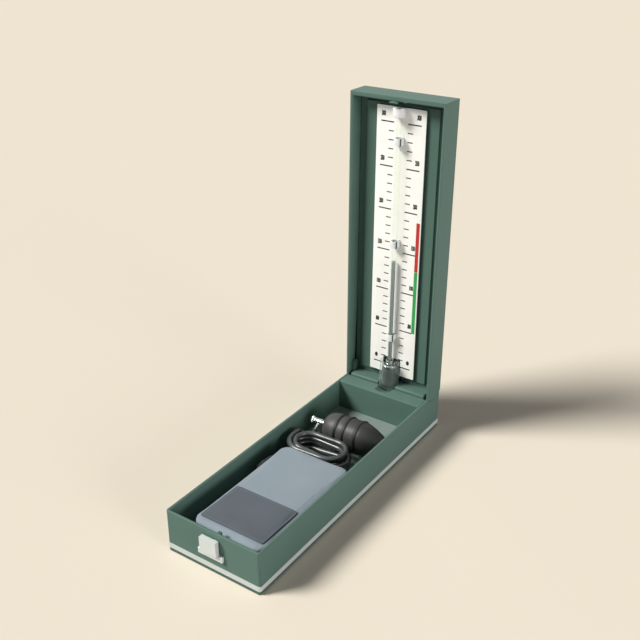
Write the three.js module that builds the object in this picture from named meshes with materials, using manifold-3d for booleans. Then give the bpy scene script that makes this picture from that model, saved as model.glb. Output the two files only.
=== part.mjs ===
// Mercury sphygmomanometer in a hinged metal case, shown open.
// Millimetres, +Z up. The base lies along Y with its front at Y = 0, the lid stands at the back.
// Y is counted from the front of the base while the pieces are made, and the finished group is
// moved so that the origin is in the middle of the underside.
import * as THREE from 'three';
import { mergeVertices } from 'three/addons/utils/BufferGeometryUtils.js';
import Module from 'manifold-3d';

const wasm = await Module();
wasm.setup();

// Overall sizes of the case
const caseWidth = 114;
const caseLength = 352;
const rimHeight = 48.5; // top of the base, where lid and base meet
const lidShorter = 6.3; // how much shorter the lid is than the case
const lidDepth = 29.7;
const rimGap = 0.3; // between lid and base, open or closed

// Clearances
const seatGap = 0.1; // between flat faces that rest on each other
const fitGap = 0.3; // round a piece that sits in a hole or beside another
const pinPlay = 0.1; // round a pin or screw that turns in its hole
const softGap = 0.2; // under the soft pieces

// Base
const boardThickness = 3.9;
const trimHeight = 5.6;
const trimWall = 3;
const trimProud = 0.4;
const baseWall = 2.8;
const baseFloor = 2.5;
const baseCorner = 2.5;
const edgeRound = 0.8;
const bossRadius = 4;
const bossInsetX = 11;
const bossInsetY = 16;
const screwShank = 1.2;
const screwHead = 3;
const screwHeadHeight = 1.7;
const screwHeadDepth = 2;
const screwPull = 4.6; // how far a board screw reaches into its boss
const linerThickness = 0.6;
const shelfDepth = 49; // from the partition to the back of the case
const shelfWall = 3;
const shelfHollowHalf = 37;
const shelfTopWall = 13;

// Hinge
const pinRadius = 1.7;
const pinHead = 2.8;
const pinHeadHeight = 1.1;
const pinSkin = 0.4; // metal left outside the blind hole of the pin
const earThickness = 3.2;
const earHalfWidth = 4.5;
const earFoot = 20; // how deep an ear sits in the shelf block
const earScrewRadius = 1.4;
const earScrewHead = 2.5;
const earScrewHeadHeight = 1.2;
const earScrewLength = 9;
const earScrewDrop = 4.5;
const earScrewSpacing = 6;
const lobeRadius = 16.9;
const lobeClearance = 0.4;

// Lid
const lidSideWall = 3.2;
const lidTopWall = 4.8;
const lidBottomWall = 3.2;
const lidBackWall = 2.8;
const boardSideBorder = 9.5;
const boardEndBorder = 5.5;
const boardRise = 2.3; // how far the middle of the board stands before its border
const boardWeb = 1.6;
const boardFlange = 3.5;
const boardFront = 16.7; // from the rim of the lid to the front of the border
const wellHalfWidth = 14; // well of the board for the mercury pot
const wellDepth = 3; // from the front of the border to the floor of the well
const wellRoom = 1.2; // from the top of the pot to the top of the well
const postRadius = 3.5;
const boardScrewX = 20;
const boardScrewShank = 1.3;
const boardScrewHead = 2.6;
const boardScrewHeadHeight = 1.4;
const boardScrewLength = 6.3;
const boardScrewFromEnd = 93;

// Scale plate
const plateHalfWidth = 29.8;
const plateMargin = 13.1; // from the ends of the lid to the ends of the plate
const plateThickness = 1.2;
const plateFront = 11.1; // from the rim of the lid to the face of the plate
const plateCorner = 1;
const spacerHalfWidth = 18;
const spacerHeight = 20;
const spacerFromEnd = 45;

// Glass tube, its clips and its top cap
const tubeRadius = 3.5;
const boreRadius = 2.4;
const tubeFront = 2.8; // from the rim of the lid to the front of the tube
const tubeFoot = 4.5; // from the rim of the base to the foot of the tube
const clipWall = 1.1;
const clipHeight = 8;
const clipShares = [0.186, 0.546, 0.904]; // places along the tube
const capRadius = 6.9;
const capHeight = 9.8;
const capRoom = 7.7; // between the cap and the end wall of the lid
const capGrip = 4.8; // how far the tube reaches into the cap
const ventRadius = 0.8;
const filterHeight = 2.2;
const zeroRise = 26.3; // from the foot of the pot to the zero line
const reading = 140;
const pitchPerMmHg = 0.97;
const mercuryGap = 0.1;
const meniscus = 1;

// Mercury pot
const potRadius = 11.4;
const potBore = 9;
const potDrop = 1; // how far the pot reaches below the rim of the base
const potHeight = 35.5;
const potFloor = 2.4;
const potChamfer = 1.5;
const poolDepth = 24; // from the foot of the pot to the mercury's level
const poolGap = 0.2;
const plugDepth = 10.5; // from the top of the pot down to the underside of the plug
const plugHeight = 4.5;
const collarRadius = 4.5;
const collarSink = 0.5; // from the top of the pot down to the top of the collar
const washerHeight = 1;
const nippleRadius = 1.6;
const nippleHeight = 5.5;
const saddleHalfWidth = 9;
const saddleRise = 11.3; // from the foot of the pot to the foot of the saddle
const saddleHeight = 16.2;
const saddleDepth = 6;

// Front latch, a slider on a rail
const railHalfWidth = 15;
const railDrop = 23; // from the rim down to the top of the rail
const railHeight = 6.3;
const railDepth = 3.2;
const backPlateThickness = 1.2;
const sliderHalfWidth = 10;
const sliderDrop = 6; // from the rim down to the top of the slider
const sliderDepth = 6;
const slideTravel = 4;
const stemHalfWidth = 3;
const stemDrop = 11.5; // from the rim down to the top of the stem
const stemHeight = 4;
const rivetX = 11;
const rivetRadius = 1.2;
const rivetHead = 2;
const rivetHeadHeight = 1;
const rivetDepth = 2;
const fingerWidth = 3.7;
const fingerHeight = 1.6;
const fingerReach = 2;
const armThickness = 1.2;
const leafThickness = 0.5;
const leafHalfWidth = 8.5;
const leafMargin = 2;

// Catch on the lid
const catchThickness = 1.2;
const catchReach = 6; // how far the hook stands before the rim of the lid
const hookHeight = 1.8;
const hookTip = 4;
const hookNeckLeft = 6;
const hookNeckRight = 1;
const catchHalfWidth = 8;
const catchSeatFront = 3.7;
const catchSeatBack = 15.7;
const catchScrewX = 5;
const catchScrewShank = 1.2;
const catchScrewHead = 2.1;
const catchScrewHeadHeight = 1.1;
const catchScrewLength = 3.6;

// Folded cuff with its patch, bladder and elbow
const cuffLeft = -35;
const cuffSideRoom = 2.2;
const cuffFront = 9.8;
const cuffBack = 165.5;
const cuffTop = 42;
const cuffCorner = 11;
const cuffEdge = 4.5;
const creaseDepth = 1;
const cuffLayers = 3;
const patchInset = 5;
const patchFront = 18.5;
const patchBack = 75.8;
const patchThickness = 1;
const patchCorner = 2;
const bladderLeft = -20;
const bladderRight = 36;
const bladderFront = 60;
const bladderBack = 150;
const bladderThickness = 3;
const bladderHeight = 28;
const elbowRadius = 3.4;
const elbowY = 125;
const elbowX = -44.5;
const elbowBend = 6;
const elbowCorner = 0.3; // place of the bend's middle point, as a share of the bend
const elbowEnd = 138.2;

// Rubber hose
const hoseRadius = 3;
const hosePitch = 6.5; // from turn to turn and from layer to layer
const coilX = -7.4;
const coilY = 190;
const coilStraight = 15; // half the straight run of one loop
const coilOuter = 20.8;
const turnsPerLayer = 1.25;
const coilLayers = 4;
const stepsPerTurn = 24;
const coilSides = 6;
const hoseSides = 8;

// Squeeze bulb, lying across the base
const bulbY = 234.3;
const bulbRadius = 19;
const ribHeight = 1.1;
const ribHalfWidth = 1.6;
const ribPlaces = [-6, 5, 20];
const bulbLeft = -27;
const bulbEndRoom = 2.7; // from the bulb's right end to the case's wall
const bulbNeck = 5.6;
const bulbFullness = 2.5; // of the rounded left end, 2 for an ellipse
const bulbTail = 6.5;
const bulbWall = 2.4;
const bulbBore = 3;
const bulbNeckSteps = [0, 1, 3.5, 7, 12, 17]; // places of the profile from the left end
const bulbTailSteps = [23.5, 16.5, 9.5, 3.5, 0]; // and from the right end
const hollowLeft = 4.5;
const hollowRight = 4;
const hollowSteps = 8;
const hollowChamfer = 1.5;

// Release valve and inlet valve
const valveRadius = 4;
const valveFlange = 4.8;
const valveFlangeWidth = 1.2;
const valveLength = 16;
const valveChamfer = 0.6;
const airwayRadius = 1;
const spigotRadius = 2.7;
const spigotLength = 6;
const knobRadius = 4.2;
const knobLength = 4.2;
const knobChamfer = 0.5;
const knobGrooves = 10;
const knobGrooveRadius = 0.7;
const needleRadius = 1.5;
const needleLength = 8;
const hoseNippleRadius = 2.3;
const hoseNippleLength = 11;
const hoseNippleAngle = 30; // degrees below level, towards the front
const nippleFromFlange = 9.5;
const inletRadius = 4.6;
const inletLength = 1.9;
const inletHole = 0.8;

// Places that follow from the sizes above
const halfWidth = caseWidth / 2;
const trimBottom = boardThickness + seatGap;
const caseBottom = trimBottom + trimHeight + seatGap;
const floorTop = caseBottom + baseFloor;
const linerTop = floorTop + seatGap + linerThickness;
const innerHalf = halfWidth - baseWall;
const innerBack = caseLength - baseWall;
const shelfFront = caseLength - shelfDepth;
const lidBottom = rimHeight + rimGap;
const lidHeight = caseLength - lidShorter;
const lidTop = lidBottom + lidHeight;
const lidBack = caseLength;
const lidFront = lidBack - lidDepth;
const lidInnerHalf = halfWidth - lidSideWall;
const lidInnerTop = lidTop - lidTopWall;
const lidInnerBottom = lidBottom + lidBottomWall;
const lidInnerBack = lidBack - lidBackWall;
const plateBottom = lidBottom + plateMargin;
const plateTop = lidTop - plateMargin;
const capTop = lidInnerTop - capRoom;
const capBottom = capTop - capHeight;
const tubeBottom = rimHeight + tubeFoot;
const tubeTop = capBottom + capGrip;
const potBottom = rimHeight - potDrop;
const potTop = potBottom + potHeight;
const poolTop = potBottom + poolDepth;
const plugBottom = potTop - plugDepth;
const plugTop = plugBottom + plugHeight;
const collarTop = potTop - collarSink;
const saddleBottom = potBottom + saddleRise;
const saddleTop = saddleBottom + saddleHeight;
const railTop = rimHeight - railDrop;
const railBottom = railTop - railHeight;
const railMiddle = (railBottom + railTop) / 2;
const sliderTop = rimHeight - sliderDrop;
const stemTop = rimHeight - stemDrop;
const stemBottom = stemTop - stemHeight;
const cuffRight = innerHalf - cuffSideRoom;
const bulbRight = innerHalf - bulbEndRoom;

// The pivot is where a quarter turn brings the open lid onto the base
const pivotY = (lidFront + lidTop - rimHeight - rimGap) / 2;
const pivotZ = lidTop - pivotY;
const troughRadius = lobeRadius + lobeClearance;

// Material colours
const green = [0x4f7166, 0.45, 0.35];
const darkGreen = [0x2f473f, 0.6, 0.1];
const silver = [0xc9cfc9, 0.3, 0.9];
const steel = [0xb6bab8, 0.35, 0.9];
const chrome = [0xe4e6e6, 0.12, 1];
const felt = [0x8b928d, 0.95, 0];
const white = [0xf2efe4, 0.5, 0];
const glass = [0xdfe9ea, 0.05, 0];
const mercury = [0xa4aaad, 0.08, 1];
const nylon = [0xe4e6e2, 0.4, 0];
const cloth = [0x8d9ba6, 0.95, 0];
const hookTape = [0x4c535c, 0.95, 0];
const rubber = [0x2a2a2a, 0.35, 0];
const bladderRubber = [0x6f5a4c, 0.7, 0];

const part = new THREE.Group();

// Adds one named piece to the model
function addPiece(name, geometry, look) {
  const [color, roughness, metalness] = look;
  const material = new THREE.MeshStandardMaterial({ color, roughness, metalness });
  const mesh = new THREE.Mesh(geometry, material);
  mesh.name = name;
  part.add(mesh);
}

// Turns a closed geometry into a solid that can be joined and cut
function solid(geometry) {
  const plain = geometry.index ? geometry.toNonIndexed() : geometry.clone();
  plain.deleteAttribute('normal');
  plain.deleteAttribute('uv');
  const merged = mergeVertices(plain, 1e-4);
  return new wasm.Manifold(new wasm.Mesh({
    numProp: 3,
    vertProperties: new Float32Array(merged.attributes.position.array),
    triVerts: new Uint32Array(merged.index.array),
  }));
}

function geometryOf(manifold) {
  const mesh = manifold.getMesh();
  const geometry = new THREE.BufferGeometry();
  geometry.setAttribute('position', new THREE.BufferAttribute(new Float32Array(mesh.vertProperties), 3));
  geometry.setIndex(new THREE.BufferAttribute(new Uint32Array(mesh.triVerts), 1));
  geometry.computeVertexNormals();
  return geometry;
}

function join(...geometries) {
  return geometries.map(solid).reduce((whole, next) => whole.add(next));
}

// Cuts the tools out of a body given as a geometry or a solid
function cut(body, tools) {
  const start = body.isBufferGeometry ? solid(body) : body;
  return tools.map(solid).reduce((whole, next) => whole.subtract(next), start);
}

function box(x0, x1, y0, y1, z0, z1) {
  const geometry = new THREE.BoxGeometry(x1 - x0, y1 - y0, z1 - z0);
  geometry.translate((x0 + x1) / 2, (y0 + y1) / 2, (z0 + z1) / 2);
  return geometry;
}

function roundedRectangle(x0, x1, y0, y1, radius) {
  const shape = new THREE.Shape();
  shape.moveTo(x0 + radius, y0);
  shape.lineTo(x1 - radius, y0);
  shape.absarc(x1 - radius, y0 + radius, radius, -Math.PI / 2, 0, false);
  shape.lineTo(x1, y1 - radius);
  shape.absarc(x1 - radius, y1 - radius, radius, 0, Math.PI / 2, false);
  shape.lineTo(x0 + radius, y1);
  shape.absarc(x0 + radius, y1 - radius, radius, Math.PI / 2, Math.PI, false);
  shape.lineTo(x0, y0 + radius);
  shape.absarc(x0 + radius, y0 + radius, radius, Math.PI, Math.PI * 1.5, false);
  return shape;
}

function polygon(points) {
  return new THREE.Shape(points.map(([x, y]) => new THREE.Vector2(x, y)));
}

// Extrudes an outline drawn in X and Y upwards
function extrudeUp(shape, z0, z1, curveSegments = 4) {
  const options = { depth: z1 - z0, bevelEnabled: false, curveSegments };
  const geometry = new THREE.ExtrudeGeometry(shape, options);
  geometry.translate(0, 0, z0);
  return geometry;
}

// Extrudes an outline drawn in Y and Z along X
function extrudeAcross(shape, x0, x1, curveSegments = 4) {
  const geometry = extrudeUp(shape, x0, x1, curveSegments);
  const turn = new THREE.Matrix4().makeBasis(
    new THREE.Vector3(0, 1, 0), new THREE.Vector3(0, 0, 1), new THREE.Vector3(1, 0, 0));
  geometry.applyMatrix4(turn);
  return geometry;
}

// Turns a profile of [radius, height] points about the Z axis through x, y
function turned(profile, x, y, segments = 24) {
  const points = profile.map(([radius, height]) => new THREE.Vector2(radius, height));
  const geometry = new THREE.LatheGeometry(points, segments);
  geometry.rotateX(Math.PI / 2);
  geometry.translate(x, y, 0);
  return geometry;
}

// Turns a profile of [radius, x] points about an axis along X through y, z
function turnedAcross(profile, y, z, segments = 24) {
  const geometry = turned(profile, 0, 0, segments);
  geometry.rotateY(Math.PI / 2);
  geometry.translate(0, y, z);
  return geometry;
}

function rod(radius, x, y, z0, z1, segments = 16) {
  return turned([[0, z0], [radius, z0], [radius, z1], [0, z1]], x, y, segments);
}

function rodAcross(radius, x0, x1, y, z, segments = 16) {
  return turnedAcross([[0, x0], [radius, x0], [radius, x1], [0, x1]], y, z, segments);
}

// A rod along Y, from y0 to y1
function rodAlong(radius, x, y0, y1, z, segments = 16) {
  const geometry = rod(radius, 0, 0, -y1, -y0, segments);
  geometry.rotateX(Math.PI / 2);
  geometry.translate(x, 0, z);
  return geometry;
}

// Sweeps a ring of points along a path and closes both ends
function tubeAlong(points, radius, sides) {
  const curve = new THREE.CatmullRomCurve3(points, false, 'centripetal');
  const section = new THREE.Shape();
  for (let i = 0; i < sides; i++) {
    const angle = (2 * Math.PI * i) / sides;
    const x = radius * Math.cos(angle);
    const y = radius * Math.sin(angle);
    if (i === 0) section.moveTo(x, y);
    else section.lineTo(x, y);
  }
  const steps = Math.max(8, Math.round(curve.getLength() / (radius * 4)));
  return new THREE.ExtrudeGeometry(section, { steps, extrudePath: curve, bevelEnabled: false });
}

// Builds a closed skin from rings of equally many points, each ring fanned shut at the ends
function skinOf(rings) {
  const sides = rings[0].length;
  const positions = rings.flat().flatMap((p) => [p.x, p.y, p.z]);
  const index = [];
  for (let r = 0; r + 1 < rings.length; r++) {
    for (let s = 0; s < sides; s++) {
      const a = r * sides + s;
      const b = r * sides + (s + 1) % sides;
      index.push(a, b, b + sides, a, b + sides, a + sides);
    }
  }
  const last = (rings.length - 1) * sides;
  for (let s = 1; s + 1 < sides; s++) {
    index.push(0, s + 1, s);
    index.push(last, last + s, last + s + 1);
  }
  const geometry = new THREE.BufferGeometry();
  geometry.setAttribute('position', new THREE.Float32BufferAttribute(positions, 3));
  geometry.setIndex(index);
  return geometry;
}

// Outline of a block seen from the side, with its four edges eased
function caseOutline(y0, y1, z0, z1) {
  return roundedRectangle(y0, y1, z0, z1, edgeRound);
}

// The arc trough that lets the lid's lower edge turn
function troughTool(x0, x1) {
  return rodAcross(troughRadius, x0, x1, pivotY, pivotZ, 64);
}

// Bottom board, the silver trim band above it and the screws that hold both to the case
const bossPlaces = [
  [-(halfWidth - bossInsetX), bossInsetY],
  [halfWidth - bossInsetX, bossInsetY],
  [-(halfWidth - bossInsetX), caseLength - bossInsetY],
  [halfWidth - bossInsetX, caseLength - bossInsetY],
];

function makeBottomBoard() {
  const outline = roundedRectangle(-halfWidth, halfWidth, 0, caseLength, baseCorner);
  const board = extrudeUp(outline, 0, boardThickness);
  const holes = bossPlaces.flatMap(([x, y]) => [
    rod(screwHead + fitGap, x, y, -1, screwHeadDepth),
    rod(screwShank + fitGap, x, y, screwHeadDepth - 1, boardThickness + 1),
  ]);
  addPiece('bottom_board', geometryOf(cut(board, holes)), darkGreen);
}

function makeTrimBand() {
  const reach = halfWidth + trimProud;
  const outer = roundedRectangle(-reach, reach, -trimProud, caseLength + trimProud, baseCorner);
  const inner = halfWidth - trimWall;
  outer.holes.push(roundedRectangle(-inner, inner, trimWall, caseLength - trimWall, baseCorner / 2));
  addPiece('trim_band', extrudeUp(outer, trimBottom, trimBottom + trimHeight), silver);
}

function makeBoardScrews() {
  bossPlaces.forEach(([x, y], i) => {
    const headBottom = screwHeadDepth - screwHeadHeight;
    const profile = [
      [0, headBottom], [screwHead, headBottom], [screwHead, screwHeadDepth - seatGap],
      [screwShank, screwHeadDepth - seatGap], [screwShank, trimBottom + screwPull],
      [0, trimBottom + screwPull],
    ];
    addPiece(`board_screw_${i + 1}`, turned(profile, x, y, 12), steel);
  });
}

// Base case: floor, four walls and the bosses under the floor
function makeBaseCase() {
  const outline = roundedRectangle(-halfWidth, halfWidth, 0, caseLength, baseCorner);
  const block = extrudeUp(outline, caseBottom, rimHeight - edgeRound);
  const rimHalf = halfWidth - edgeRound;
  const rimOutline = roundedRectangle(
    -rimHalf, rimHalf, edgeRound, caseLength - edgeRound, baseCorner - edgeRound);
  const rim = new THREE.ExtrudeGeometry(rimOutline, {
    depth: 1, bevelEnabled: true, bevelThickness: edgeRound, bevelSize: edgeRound,
    bevelSegments: 2, curveSegments: 4,
  });
  rim.translate(0, 0, rimHeight - edgeRound - 1);
  const bosses = bossPlaces.map(([x, y]) => rod(bossRadius, x, y, trimBottom, caseBottom + baseFloor / 2));
  const body = join(block, rim, ...bosses);
  const cavity = box(-innerHalf, innerHalf, baseWall, innerBack, floorTop, rimHeight + 1);
  const screwHoles = bossPlaces.map(([x, y]) => (
    rod(screwShank + fitGap, x, y, trimBottom - 1, trimBottom + screwPull + fitGap)));
  const stemSlot = box(
    -stemHalfWidth - fitGap - slideTravel, stemHalfWidth + fitGap, -1, baseWall + 1,
    stemBottom - fitGap, stemTop + fitGap);
  const rivetHoles = [-rivetX, rivetX].map((x) => (
    rodAlong(rivetRadius + fitGap, x, -1, baseWall + 1, railMiddle)));
  const tools = [cavity, ...screwHoles, stemSlot, ...rivetHoles, troughTool(-halfWidth - 1, halfWidth + 1)];
  addPiece('base_case', geometryOf(cut(body, tools)), green);
}

function makeFloorLiner() {
  addPiece('floor_liner', box(
    -innerHalf + fitGap, innerHalf - fitGap, baseWall + fitGap, shelfFront - fitGap,
    floorTop + seatGap, linerTop), felt);
}

// Room that the mercury pot sweeps through as the lid turns, slice by slice across X.
// In each slice the pot's upper front corner makes the front wall and its lower one the round bottom.
function potSweep() {
  const reach = potRadius + 2 * fitGap;
  const low = potBottom - pivotZ - fitGap;
  const high = potTop - pivotZ + fitGap;
  const top = rimHeight - pivotZ + 2;
  const slices = 14;
  const frontSteps = 4;
  const arcSteps = 12;
  const halfChord = (radius, height) => Math.sqrt(radius * radius - height * height);
  const rings = [];
  for (let i = 0; i <= slices; i++) {
    const x = -reach * Math.cos((Math.PI * i) / slices) * 0.999;
    const front = tubeY - pivotY - halfChord(reach, x);
    const shelf = Math.min(front, top - 0.5);
    const upperRadius = Math.hypot(front, high);
    const lowerRadius = Math.hypot(front, low);
    const ring = [];
    const addPoint = (y, z) => ring.push(new THREE.Vector3(x, pivotY + y, pivotZ + z));
    for (let j = 0; j <= frontSteps; j++) {
      const z = top + (shelf - top) * (j / frontSteps);
      addPoint(-halfChord(upperRadius, z), z);
    }
    const start = Math.atan2(shelf, -halfChord(lowerRadius, shelf));
    const sweep = -Math.PI - 2 * start;
    for (let j = 0; j <= arcSteps; j++) {
      const angle = start + sweep * (j / arcSteps);
      addPoint(lowerRadius * Math.cos(angle), lowerRadius * Math.sin(angle));
    }
    addPoint(halfChord(lowerRadius, shelf), top);
    rings.push(ring);
  }
  return skinOf(rings);
}

const tubeY = lidFront + tubeFront + tubeRadius;

// Ears and their slots at the two sides of the shelf block
const earOuter = lidInnerHalf - fitGap;
const earInner = earOuter - earThickness;
const earBottom = rimHeight - earFoot;

function makeShelfBlock() {
  const half = innerHalf - fitGap;
  const outline = caseOutline(shelfFront, innerBack - fitGap, floorTop + seatGap, rimHeight);
  const block = extrudeAcross(outline, -half, half);
  const slots = [-1, 1].map((side) => {
    const a = side * (earInner - fitGap);
    const b = side * (half + 1);
    return box(
      Math.min(a, b), Math.max(a, b), pivotY - earHalfWidth - fitGap, pivotY + earHalfWidth + fitGap,
      earBottom - fitGap, rimHeight + 1);
  });
  const screwHoles = earScrewPlaces.flatMap(({ side, y, z }) => {
    const a = side * (earInner - earScrewLength - fitGap);
    const b = side * (half + 1);
    return [rodAcross(earScrewRadius + fitGap, Math.min(a, b), Math.max(a, b), y, z, 12)];
  });
  const hollow = box(
    -shelfHollowHalf, shelfHollowHalf, shelfFront + shelfWall, innerBack - fitGap - shelfWall,
    floorTop - 1, rimHeight - shelfTopWall);
  const tools = [troughTool(-half - 1, half + 1), potSweep(), hollow, ...slots, ...screwHoles];
  addPiece('shelf_block', geometryOf(cut(block, tools)), green);
}

const earScrewPlaces = [-1, 1].flatMap((side) => [0, 1].map((i) => ({
  side, y: pivotY, z: pivotZ - troughRadius - earScrewDrop - earScrewSpacing * i,
})));

const sideName = (side) => (side < 0 ? 'left' : 'right');

function makeHingeEars() {
  [-1, 1].forEach((side) => {
    const shape = new THREE.Shape();
    shape.moveTo(pivotY - earHalfWidth, earBottom);
    shape.lineTo(pivotY + earHalfWidth, earBottom);
    shape.lineTo(pivotY + earHalfWidth, pivotZ);
    shape.absarc(pivotY, pivotZ, earHalfWidth, 0, Math.PI, false);
    const x0 = Math.min(side * earInner, side * earOuter);
    const x1 = x0 + earThickness;
    const holes = [rodAcross(pinRadius + pinPlay, x0 - 1, x1 + 1, pivotY, pivotZ, 24)];
    earScrewPlaces.filter((place) => place.side === side).forEach(({ y, z }) => {
      const outer = side * (earOuter + 1);
      const seat = side * (earOuter - earScrewHeadHeight - fitGap);
      holes.push(rodAcross(earScrewRadius + fitGap, x0 - 1, x1 + 1, y, z, 12));
      holes.push(rodAcross(earScrewHead + fitGap, Math.min(outer, seat), Math.max(outer, seat), y, z, 12));
    });
    const body = cut(extrudeAcross(shape, x0, x1, 12), holes);
    addPiece(`hinge_ear_${sideName(side)}`, geometryOf(body), green);
    const head = earInner - seatGap;
    const pin = turnedAcross([
      [0, head - pinHeadHeight], [pinHead, head - pinHeadHeight], [pinHead, head],
      [pinRadius, head], [pinRadius, halfWidth - pinSkin - fitGap], [0, halfWidth - pinSkin - fitGap],
    ], pivotY, pivotZ, 20);
    if (side < 0) pin.rotateZ(Math.PI);
    if (side < 0) pin.translate(0, 2 * pivotY, 0);
    addPiece(`hinge_pin_${sideName(side)}`, pin, green);
  });
  earScrewPlaces.forEach(({ side, y, z }, i) => {
    const outer = earOuter - fitGap / 2;
    const screw = turnedAcross([
      [0, earInner - earScrewLength], [earScrewRadius, earInner - earScrewLength],
      [earScrewRadius, outer - earScrewHeadHeight], [earScrewHead, outer - earScrewHeadHeight],
      [earScrewHead, outer], [0, outer],
    ], y, z, 12);
    if (side < 0) screw.rotateZ(Math.PI);
    if (side < 0) screw.translate(0, 2 * y, 0);
    addPiece(`ear_screw_${sideName(side)}_${(i % 2) + 1}`, screw, steel);
  });
}

// Lid case: a deep tray standing on its end, with a round lower edge that turns in the trough
function makeLidCase() {
  const outer = extrudeAcross(caseOutline(lidFront, lidBack, lidBottom, lidTop), -halfWidth, halfWidth);
  const lobe = rodAcross(lobeRadius, -halfWidth, halfWidth, pivotY, pivotZ, 64);
  const lobeKeep = box(
    -halfWidth - 1, halfWidth + 1, lidFront, lidBack, rimHeight - lobeRadius, lidInnerBottom);
  const body = solid(outer).add(solid(lobe).intersect(solid(lobeKeep)));
  const cavity = box(
    -lidInnerHalf, lidInnerHalf, lidFront - 1, lidInnerBack, lidInnerBottom, lidInnerTop);
  const earSlots = [-1, 1].map((side) => {
    const a = side * (earInner - fitGap);
    const b = side * lidInnerHalf;
    return box(
      Math.min(a, b), Math.max(a, b), lidFront - 1, pivotY + earHalfWidth + fitGap,
      rimHeight - lobeRadius, lidInnerBottom + 1);
  });
  const pinHoles = [-1, 1].map((side) => {
    const a = side * (lidInnerHalf - 1);
    const b = side * (halfWidth - pinSkin);
    return rodAcross(pinRadius + pinPlay, Math.min(a, b), Math.max(a, b), pivotY, pivotZ, 24);
  });
  const potRoom = potRadius + fitGap;
  const potNotch = [
    rod(potRoom, 0, tubeY, rimHeight - lobeRadius, lidInnerBottom + 1, 48),
    box(-potRoom, potRoom, lidFront - 1, tubeY, rimHeight - lobeRadius, lidInnerBottom + 1),
  ];
  const catchHoles = [-catchScrewX, catchScrewX].map((x) => (
    rod(catchScrewShank + fitGap, x, catchScrewY, lidInnerTop - 1, lidInnerTop + catchScrewLength, 12)));
  const tray = cut(body, [cavity, ...earSlots, ...pinHoles, ...potNotch, ...catchHoles]);
  const posts = boardScrewPlaces.map(([x, z]) => (
    rodAlong(postRadius, x, boardWebBack + fitGap, lidInnerBack + lidBackWall / 2, z)));
  const postHoles = boardScrewPlaces.map(([x, z]) => (
    rodAlong(boardScrewShank + fitGap, x, boardWebBack, lidInnerBack - fitGap, z, 12)));
  const whole = posts.map(solid).reduce((all, next) => all.add(next), tray);
  addPiece('lid_case', geometryOf(cut(whole, postHoles)), green);
}

const boardY = lidFront + boardFront;
const boardWebFront = boardY - boardRise;
const boardWebBack = boardWebFront + boardWeb;
const wellFloor = boardY + wellDepth;
const boardScrewHeights = [lidBottom + boardScrewFromEnd, lidTop - boardScrewFromEnd];
const boardScrewPlaces = boardScrewHeights.flatMap((z) => [[-boardScrewX, z], [boardScrewX, z]]);
const catchScrewY = lidFront + (catchSeatFront + catchSeatBack) / 2;

// Back board of the lid: its middle stands before its border, and a well takes the mercury pot
function makeBackBoard() {
  const half = lidInnerHalf - fitGap;
  const low = lidInnerBottom + fitGap;
  const high = lidInnerTop - fitGap;
  const panelHalf = half - boardSideBorder;
  const panelLow = low + boardEndBorder;
  const panelHigh = high - boardEndBorder;
  const wellTop = potTop + wellRoom;
  const border = box(-half, half, boardY, lidInnerBack - fitGap, low, high);
  const rear = box(
    -half + boardFlange, half - boardFlange, boardY + boardWeb, lidInnerBack + 1,
    low + boardFlange, high - boardFlange);
  const panel = box(-panelHalf, panelHalf, boardWebFront, boardY + boardWeb, panelLow, panelHigh);
  const behindPanel = box(
    -panelHalf + boardWeb, panelHalf - boardWeb, boardWebBack, boardY + boardWeb + 1,
    panelLow + boardWeb, panelHigh - boardWeb);
  const wellOuter = wellHalfWidth + boardWeb;
  const well = box(-wellOuter, wellOuter, boardWebFront, wellFloor + boardWeb, low, wellTop + boardWeb);
  const wellInside = box(-wellHalfWidth, wellHalfWidth, boardWebFront - 1, wellFloor, low - 1, wellTop);
  const holes = boardScrewPlaces.map(([x, z]) => (
    rodAlong(boardScrewShank + fitGap, x, boardWebFront - 1, boardWebBack + 1, z, 12)));
  const shell = cut(cut(border, [rear]).add(solid(panel)), [behindPanel]);
  addPiece('lid_back_board', geometryOf(cut(shell.add(solid(well)), [wellInside, ...holes])), green);
}

function makeBackBoardScrews() {
  boardScrewPlaces.forEach(([x, z], i) => {
    const seat = boardWebFront - seatGap;
    const screw = turned([
      [0, seat - boardScrewHeadHeight], [boardScrewHead, seat - boardScrewHeadHeight],
      [boardScrewHead, seat], [boardScrewShank, seat],
      [boardScrewShank, seat + boardScrewLength], [0, seat + boardScrewLength],
    ], 0, 0, 12);
    screw.rotateX(-Math.PI / 2);
    screw.translate(x, 0, z);
    addPiece(`back_board_screw_${i + 1}`, screw, steel);
  });
}

// Scale plate, notched for the mercury pot, and the two spacers behind it
const plateY = lidFront + plateFront;
const plateBack = plateY + plateThickness;

function makeScalePlate() {
  const outline = roundedRectangle(-plateHalfWidth, plateHalfWidth, plateBottom, plateTop, plateCorner);
  const plate = extrudeUp(outline, 0, plateThickness);
  plate.rotateX(Math.PI / 2);
  plate.translate(0, plateBack, 0);
  const potRoom = potRadius + fitGap;
  const notch = box(-potRoom, potRoom, plateY - 1, plateBack + 1, plateBottom - 1, potTop + fitGap);
  addPiece('scale_plate', geometryOf(cut(plate, [notch])), white);
  [plateBottom + spacerFromEnd, plateTop - spacerFromEnd].forEach((z, i) => {
    addPiece(`plate_spacer_${i + 1}`, box(
      -spacerHalfWidth, spacerHalfWidth, plateBack + fitGap, boardWebFront - fitGap,
      z - spacerHeight / 2, z + spacerHeight / 2), nylon);
  });
}

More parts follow.
